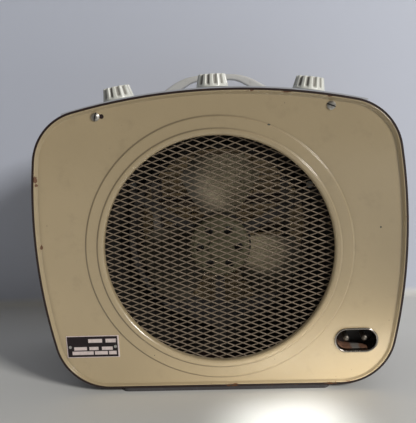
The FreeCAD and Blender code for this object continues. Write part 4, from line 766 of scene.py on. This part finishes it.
class HEATER_OT_enamel(Operator):
    """Paint the panels, the casing and the top plate"""

    bl_idname = "heater.enamel"
    bl_label = "Enamel"

    def execute(self, context):
        hue = colours()
        start, full = 1.0 * MM, 0.2 * MM
        rear = enamel("panel_enamel", hue.panel, 0.3, (REAR_RIM + start, REAR_RIM + full),
                      RUST_MARKS, CHIP_MARKS)
        front = enamel("front_enamel", hue.panel, 0.3, (FRONT_RIM - start, FRONT_RIM - full))
        for name, rim, finish, fasteners in (
                ("rear_panel", REAR_RIM, rear, ("rear_panel_screws", "plate_pins")),
                ("front_panel", FRONT_RIM, front, ("front_panel_screws",))):
            panel = softened(name, rim, fasteners)
            settle(panel, f"pressed_{name}", finish, name)
        edge = (REAR_RIM + 1.2 * MM, REAR_RIM + 0.1 * MM)
        dress(enamel("casing_enamel", hue.casing, 0.42, edge, coat=0.3), "casing_shell")
        dress(enamel("top_plate_enamel", hue.top_plate, 0.38), "top_plate")
        dress(enamel("guard_enamel", hue.panel, 0.4), "front_guard")
        return {"FINISHED"}


class HEATER_OT_works(Operator):
    """Finish the motor, the fan, the heater and what carries them"""

    bl_idname = "heater.works"
    bl_label = "Works"

    def execute(self, context):
        hue = colours()
        for name, (colour, rough, rust, nodes) in METALS.items():
            dress(metal(name, colour, rough, rust), *nodes)
        # Painted shade: the motor's olive enamel is darkened also, to stand for the dim inside of the casing
        dress(dusty("motor_enamel", hue.motor, MOTOR_DUST), "motor_can", "motor_rear_bell",
              "motor_front_bell")
        # The fan: a dark sheet as painted shade, with pale pools of dust that are also painted light where
        # its blades are lit
        dress(dusty("fan_sheet", hue.fan, FAN_FLUFF_AND_LIGHT, 1.0, FAN_DUST_AND_LIGHT), "fan")
        # Painted shade: the sheets inside and their dust are near black, standing for the dim inside of the
        # casing
        dress(dusty("dark_sheet", hue.inside, INSIDE_DUST_AND_SHADE), "fan_shroud", "rear_clamp_ring",
              "front_clamp_ring", "motor_bracket")
        dress(plain_moulding("dark_moulding", INSULATION), "terminal_block", "heat_switch", "fan_switch",
              "thermostat", "thermal_cutout")
        # Painted shade: the inlet's black moulding is darker still, standing for the shade deep in its socket
        dress(plain_moulding("inlet_moulding", INLET_BLACK, 0.5, 0.06), "inlet_block")
        dress(ceramic("holder_ceramic"), "element_holders")
        dress(rubber("foot_rubber", hue.rubber), "rear_foot", "front_foot")
        dress(moulding("handle_moulding", hue.handle), "carry_handle")
        return {"FINISHED"}


class HEATER_OT_screws(Operator):
    """Turn the slots of the rear panel's screws as they were driven"""

    bl_idname = "heater.screws"
    bl_label = "Panel screws"

    left: angle("Left slot", "Turn of the left screw's slot from level", math.radians(74))
    right: angle("Right slot", "Turn of the right screw's slot from level", math.radians(-22))

    def execute(self, context):
        screws = merged_copy("rear_panel_screws")
        slots = []
        for (x, z, radius), turn in zip(heads("rear_panel_screws"), (self.left, self.right)):
            choose(screws, "VERT", lambda point: abs(point.co.x - x) < 2 * radius)
            bpy.ops.transform.rotate(value=turn, orient_axis="Y", center_override=(x, 0, z))
            leave()
            slots.append((x, z, turn))
        smooth(screws, 30)
        # The slots of these screws get painted shade with a little grime
        finish = metal("screw_steel", colours().screw, 0.22, 0.1, slots)
        settle(screws, "driven_screws", finish, "rear_panel_screws")
        return {"FINISHED"}


class HEATER_OT_mesh(Operator):
    """Model the expanded metal of the intake"""

    bl_idname = "heater.mesh"
    bl_label = "Intake mesh"

    def execute(self, context):
        size = sizes()
        half_long, half_short = size.mesh_long / 2, size.mesh_short / 2
        middle = (GRILLE_LOW + GRILLE_HIGH) / 2
        radius = (GRILLE_HIGH.x - GRILLE_LOW.x) / 2 - MESH_INSET
        deselect()
        bpy.ops.mesh.primitive_cube_add(size=1, location=(half_long / 2, 0, 0), scale=(
            half_long, size.strand_sheet, size.strand_width))
        strand = active()
        fix_place()
        strand.rotation_euler.x = -size.strand_tilt
        fix_place()
        shift(strand, lambda point: point.co.x > half_long / 2, (0, 0, half_short))
        modify(strand, "MIRROR", use_axis=(True, False, False), use_mirror_merge=False)
        repeat(strand, 2, (half_long, 0, half_short))
        columns = 2 * math.ceil(radius / size.mesh_long) + 1
        rows = 2 * math.ceil(radius / size.mesh_short) + 1
        repeat(strand, columns, (size.mesh_long, 0, 0))
        repeat(strand, rows, (0, 0, size.mesh_short))
        strand.location = middle - Vector((columns // 2 * size.mesh_long, 0, rows // 2 * size.mesh_short))
        fix_place()
        strand.matrix_world = (Matrix.Translation(middle) @ Matrix.Rotation(size.mesh_turn, 4, "Y")
                               @ Matrix.Translation(-middle))
        fix_place()
        for index in range(MESH_SIDES):
            turn = 2 * math.pi * index / MESH_SIDES
            outward = Vector((math.cos(turn), 0, math.sin(turn)))
            cut_level(strand, middle + outward * radius, outward, clear=True)
        finish = dusty("mesh_enamel", colours().mesh, MESH_DUST, 0.35)
        settle(strand, "intake_mesh", finish, "rear_grille")
        return {"FINISHED"}


class HEATER_OT_knobs(Operator):
    """Model the fluted knobs of the switches and the thermostat"""

    bl_idname = "heater.knobs"
    bl_label = "Knobs"

    def body(self):
        """A tapered cylinder on the origin along z, cut where the flutes start and end."""
        size = sizes()
        deselect()
        bpy.ops.mesh.primitive_cylinder_add(vertices=size.flute_count * FLUTE_SIDES, radius=KNOB_BASE,
                                            depth=KNOB_HEIGHT, end_fill_type="NGON",
                                            location=(0, 0, KNOB_HEIGHT / 2))
        knob = active()
        fix_place()
        taper = size.knob_crown / KNOB_BASE
        choose(knob, "VERT", lambda point: point.co.z > KNOB_HEIGHT / 2)
        bpy.ops.transform.resize(value=(taper, taper, 1), center_override=(0, 0, KNOB_HEIGHT))
        leave()
        for level in (size.knob_skirt, size.knob_skirt + size.flute_depth, KNOB_HEIGHT - 0.5 * MM):
            cut_level(knob, (0, 0, level), (0, 0, 1))
        return knob

    def flute(self, knob):
        """Sinks the flutes, each in two steps."""
        size = sizes()
        pitch = 2 * math.pi / size.flute_count
        for index in range(size.flute_count):
            middle = pitch * (index + 0.5)
            inward = Vector((-math.cos(middle), -math.sin(middle), 0))
            for wide, share in FLUTE_STEPS:

                def in_flute(point):
                    turn = (math.atan2(point.co.y, point.co.x) - middle + math.pi) % (2 * math.pi) - math.pi
                    return abs(turn) < wide * pitch and point.co.z > size.knob_skirt + MM

                shift(knob, in_flute, inward * size.flute_depth * share)

    def hollow(self, knob):
        """Hollows the knob from below round a bored boss."""
        size = sizes()
        roof = KNOB_HEIGHT - size.knob_wall / 2
        choose(knob, "FACE", lambda face: face.normal.z < -0.9)
        bpy.ops.mesh.inset(thickness=size.knob_wall)
        extrude((0, 0, roof))
        bpy.ops.mesh.inset(thickness=KNOB_BASE - size.knob_wall - size.knob_boss)
        extrude((0, 0, size.knob_boss_lift - roof))
        bpy.ops.mesh.inset(thickness=size.knob_boss - KNOB_BORE)
        extrude((0, 0, roof - size.knob_boss_lift))
        leave()

    def execute(self, context):
        pattern = self.body()
        self.flute(pattern)
        self.hollow(pattern)
        modify(pattern, "BEVEL", width=sizes().knob_edge, segments=2, limit_method="ANGLE",
               angle_limit=math.radians(35))
        smooth(pattern, 50)
        lift = KNOB_LOW.z - JOINTS["thermostat_turn"]["pos_m"][2]
        for name, turn in KNOBS.items():
            joint = JOINTS[turn]
            axis = Vector(joint["axis"])
            axis = axis if axis.z > 0 else -axis
            foot = Vector(joint["pos_m"]) + axis * lift
            knob = pattern.copy()
            knob.data = pattern.data.copy()
            context.scene.collection.objects.link(knob)
            knob.rotation_euler = Vector((0, 0, 1)).rotation_difference(axis).to_euler()
            knob.location = foot
            finish = moulding(f"{name}_ivory", colours().ivory, foot, axis)
            settle(knob, f"fluted_{name}", finish, name, joint["child"])
        bpy.data.objects.remove(pattern)
        return {"FINISHED"}


class HEATER_OT_collar(Operator):
    """Model the rolled collar of the inlet"""

    bl_idname = "heater.collar"
    bl_label = "Inlet collar"

    def execute(self, context):
        bead = sizes().bead
        middle = (INLET_LOW + INLET_HIGH) / 2
        deselect()
        bpy.ops.mesh.primitive_circle_add(vertices=BEAD_SIDES, radius=bead,
                                          location=(INLET_TALL / 2 - bead, 0, 0))
        collar = active()
        fix_place()
        side = 2 * math.pi / BEAD_SIDES
        root = Vector((INLET_TALL / 2 - bead * (1 + math.sin(side)), bead * math.cos(side)))

        def from_root(point):
            """Distance from where the bead meets the collar's wall."""
            return (point.co.xy - root).length

        nearest = min(collar.data.vertices, key=from_root).index
        choose(collar, "VERT", lambda point: point.index == nearest)
        bpy.ops.mesh.delete(type="VERT")
        leave()
        choose(collar, "VERT", lambda point: from_root(point) < 0.7 * bead)
        extrude((0, INLET_HIGH.y - INLET_LOW.y - 2 * bead, 0))
        bpy.ops.mesh.edge_face_add()
        bpy.ops.mesh.select_all(action="SELECT")
        bpy.ops.mesh.spin(steps=COLLAR_STEPS, angle=2 * math.pi, center=(0, 0, 0), axis=(0, 1, 0))
        bpy.ops.mesh.select_all(action="SELECT")
        bpy.ops.mesh.remove_doubles(threshold=MERGE)
        bpy.ops.mesh.normals_make_consistent(inside=False)
        leave()
        for end in (-1, 1):
            shift(collar, lambda point: end * (point.co.x + MERGE) > 0, (end * INLET_RUN, 0, 0))
        smooth(collar, 40)
        collar.location = (middle.x, INLET_LOW.y + bead, middle.z)
        finish = metal("inlet_nickel", colours().collar, 0.10, 0.35)
        settle(collar, "rolled_collar", finish, "inlet_collar")
        return {"FINISHED"}


class HEATER_OT_strips(Operator):
    """Model the earth strips above and below the inlet's pins"""

    bl_idname = "heater.strips"
    bl_label = "Earth strips"

    def execute(self, context):
        size = sizes()
        low, high = corners("inlet_springs")
        middle, deep = (low + high) / 2, high.y - low.y
        seat = (high.z - low.z) / 2 - size.strip_sheet
        deselect()
        bpy.ops.mesh.primitive_plane_add(size=1, location=((size.strip_end - INLET_RUN) / 2, 0, -seat))
        strip = active()
        strip.scale = (size.strip_end + INLET_RUN, deep, 1)
        fix_place()
        choose(strip, "VERT", lambda point: point.co.x < 0)
        bpy.ops.mesh.spin(steps=8, angle=-size.strip_wrap, center=(-INLET_RUN, 0, 0), axis=(0, 1, 0))
        leave()
        if min(point.co.x for point in strip.data.vertices) > -INLET_RUN - 0.5 * seat:
            raise RuntimeError("The earth strip did not wrap round the inlet's end")
        shift(strip, lambda point: point.co.x > 0 and point.co.y > 0, (0, -size.strip_taper, 0))
        for share in (-0.25, 0.0, 0.25):
            cut_level(strip, (0, share * deep, 0), (0, 1, 0))
        for reach in (0.3 * deep, 0.1 * deep):
            shift(strip, lambda point: abs(point.co.y) < reach, (0, 0, size.strip_bow / 2))
        modify(strip, "SOLIDIFY", thickness=size.strip_sheet, offset=0)
        modify(strip, "MIRROR", use_axis=(False, False, True), use_mirror_merge=False)
        choose(strip, "VERT", lambda point: True)
        bpy.ops.mesh.normals_make_consistent(inside=False)
        leave()
        smooth(strip, 40)
        strip.location = middle
        finish = rubbed_copper("earth_copper", colours().copper, middle.x, reach=5 * MM)
        settle(strip, "earth_strips", finish, "inlet_springs")
        return {"FINISHED"}


class HEATER_OT_plate(Operator):
    """Model the plate with its raised border"""

    bl_idname = "heater.plate"
    bl_label = "Plate"

    def execute(self, context):
        border, end = sizes().plate_border, sizes().plate_end
        middle, reach = (PLATE_LOW + PLATE_HIGH) / 2, PLATE_HIGH - PLATE_LOW
        deselect()
        bpy.ops.mesh.primitive_cube_add(size=1, location=middle, scale=reach)
        plate = active()
        fix_place()
        choose(plate, "FACE", lambda face: face.normal.y < -0.9)
        bpy.ops.mesh.inset(thickness=border)
        leave()
        shift(plate, lambda point: middle.x < point.co.x < PLATE_HIGH.x - border / 2, (border - end, 0, 0))
        choose(plate, "FACE", lambda face: face.normal.y < -0.9 and (face.center - middle).xz.length < border)
        extrude((0, 0.4 * reach.y, 0))
        leave()
        modify(plate, "BEVEL", width=sizes().plate_edge, segments=2, limit_method="ANGLE",
               angle_limit=math.radians(40))
        finish = printed_plate("plate_print")
        settle(plate, "bordered_plate", finish, "rating_plate")
        return {"FINISHED"}


class HEATER_OT_stage(Operator):
    """Set the floor, the wall, the lights and the camera"""

    bl_idname = "heater.stage"
    bl_label = "Studio"

    wall: length("Wall", "Wall behind the middle of the heater", 195 * MM)
    cove: length("Cove", "Rounding between the floor and the wall", 12 * MM)
    eye: FloatVectorProperty(name="Eye", description="Place of the camera", subtype="TRANSLATION",
                             unit="LENGTH", default=(26.0 * MM, -584.3 * MM, 267.8 * MM))
    yaw: angle("Yaw", "Turn of the camera to the right", -0.0653)
    pitch: angle("Pitch", "Tilt of the camera upwards", -0.1773)
    roll: angle("Roll", "Turn of the camera about its view", -0.0503)
    focus: FloatProperty(name="Focal length", description="Focal length over the frame's height",
                         default=575 / 423)

    def floor(self):
        """A floor that turns up into a wall, both pale, and seen only from the heater's side."""
        deselect()
        bpy.ops.mesh.primitive_plane_add(size=2 * STUDIO_REACH, location=(0, self.wall - STUDIO_REACH, 0))
        floor = active()
        fix_place()
        choose(floor, "VERT", lambda point: point.co.y > 0)
        extrude((0, 0, STUDIO_REACH))
        leave()
        choose(floor, "VERT", lambda point: point.co.y > 0 and point.co.z < MM)
        bpy.ops.mesh.bevel(offset=self.cove, segments=8, affect="EDGES")
        leave()
        bpy.ops.object.shade_smooth()
        floor.name = "studio_floor"
        paint = Paint("studio_paint", {"Roughness": 0.55})
        wall = paint.step(paint.z, 2 * MM, self.cove + 2 * MM)
        base = paint.mix(wall, FLOOR_PAINT, WALL_PAINT)
        behind = paint.node("ShaderNodeNewGeometry", output="Backfacing")
        floor.data.materials.append(paint.finish(base_color=base, alpha=1 - behind))

    def lamp(self, name, colour, place, aim, power, size, lit=(), spread=math.pi):
        """A soft rectangular light, or one for some pieces alone, which their gloss doesn't mirror."""
        light = bpy.data.lights.new(name, "AREA")
        light.shape = "RECTANGLE"
        light.size, light.size_y = size
        light.spread = spread
        light.energy = power
        light.color = colour
        thing = bpy.data.objects.new(name, light)
        thing.location = place
        thing.rotation_euler = (Vector(aim) - Vector(place)).to_track_quat("-Z", "Y").to_euler()
        bpy.context.scene.collection.objects.link(thing)
        if lit:
            group = bpy.data.collections.new(f"{name}_lit")
            for piece in lit:
                group.objects.link(bpy.data.objects[piece])
            thing.visible_glossy = False
            thing.light_linking.receiver_collection = group
            thing.light_linking.blocker_collection = group

    def lamps(self):
        """Daylight from a window, and what the floor and the room throw back."""
        rear, front = ("pressed_rear_panel",), ("pressed_front_panel", "front_guard")
        self.lamp("window", DAYLIGHT, place=(2.02, -1.82, 1.41), aim=(0, 0, 0.14), power=58, size=(0.6, 0.6))
        self.lamp("patch", PATCH_LIGHT, place=(0.066, -0.16, 0.25), aim=(0.058, -0.132, 0), power=0.026,
                  size=(0.085, 0.07), lit=("studio_floor",), spread=0.35)
        self.lamp("bounce", FLOOR_LIGHT, place=(0.17, -0.14, 0.014), aim=(0.14, -0.07, -0.03), power=0.08,
                  size=(0.14, 0.024), lit=rear)
        self.lamp("shelf", FLOOR_LIGHT, place=(0.10, -0.15, 0.014), aim=(0.08, -0.07, -0.03), power=0.155,
                  size=(0.28, 0.024), lit=rear)
        self.lamp("room", ROOM_LIGHT, place=(-0.46, -0.30, 0.04), aim=(-0.13, -0.07, 0.08), power=0.72,
                  size=(0.20, 0.07), lit=rear)
        self.lamp("front", DAYLIGHT, place=(-0.9, 1.3, 0.9), aim=(0, 0.07, 0.14), power=20, size=(0.6, 0.6),
                  lit=front)

    def camera(self):
        """The camera at the photograph's place."""
        lens = bpy.data.cameras.new("camera")
        lens.sensor_fit = "VERTICAL"
        lens.sensor_height = 36
        lens.lens = self.focus * lens.sensor_height
        lens.clip_start = 0.01
        thing = bpy.data.objects.new("camera", lens)
        turn = (Matrix.Rotation(-self.yaw, 4, "Z") @ Matrix.Rotation(math.pi / 2 + self.pitch, 4, "X")
                @ Matrix.Rotation(self.roll, 4, "Z"))
        thing.matrix_world = Matrix.Translation(self.eye) @ turn
        bpy.context.scene.collection.objects.link(thing)
        bpy.context.scene.camera = thing

    def execute(self, context):
        self.floor()
        self.camera()
        self.lamps()
        world = bpy.data.worlds.new("studio_air")
        world.use_nodes = True
        background = world.node_tree.nodes["Background"].inputs
        background["Color"].default_value = (*STUDIO_AIR, 1)
        background["Strength"].default_value = AIR_STRENGTH
        context.scene.world = world
        context.scene.view_settings.view_transform = "Standard"
        return {"FINISHED"}


class HEATER_PT_pieces(Panel):
    """Pieces of the heater and its studio"""

    bl_label = "Fan heater"
    bl_idname = "HEATER_PT_pieces"
    bl_space_type = "VIEW_3D"
    bl_region_type = "UI"
    bl_category = "Heater"

    def draw(self, context):
        for operator in OPERATORS:
            self.layout.operator(operator.bl_idname)
        for group in (context.scene.heater_sizes, context.scene.heater_colours):
            for key in group.bl_rna.properties.keys():
                if key not in ("rna_type", "name"):
                    self.layout.prop(group, key)


OPERATORS = (HEATER_OT_enamel, HEATER_OT_works, HEATER_OT_screws, HEATER_OT_mesh, HEATER_OT_knobs,
             HEATER_OT_collar, HEATER_OT_strips, HEATER_OT_plate, HEATER_OT_stage)
CLASSES = (HeaterSizes, HeaterColours, *OPERATORS, HEATER_PT_pieces)


def register():
    for kind in CLASSES:
        bpy.utils.register_class(kind)
    bpy.types.Scene.heater_sizes = PointerProperty(type=HeaterSizes)
    bpy.types.Scene.heater_colours = PointerProperty(type=HeaterColours)


def unregister():
    del bpy.types.Scene.heater_colours
    del bpy.types.Scene.heater_sizes
    for kind in reversed(CLASSES):
        bpy.utils.unregister_class(kind)


def main():
    register()
    bpy.ops.heater.enamel()
    bpy.ops.heater.works()
    bpy.ops.heater.screws()
    bpy.ops.heater.mesh()
    bpy.ops.heater.knobs()
    bpy.ops.heater.collar()
    bpy.ops.heater.strips()
    bpy.ops.heater.plate()
    bpy.ops.heater.stage()


if __name__ == "__main__":
    main()
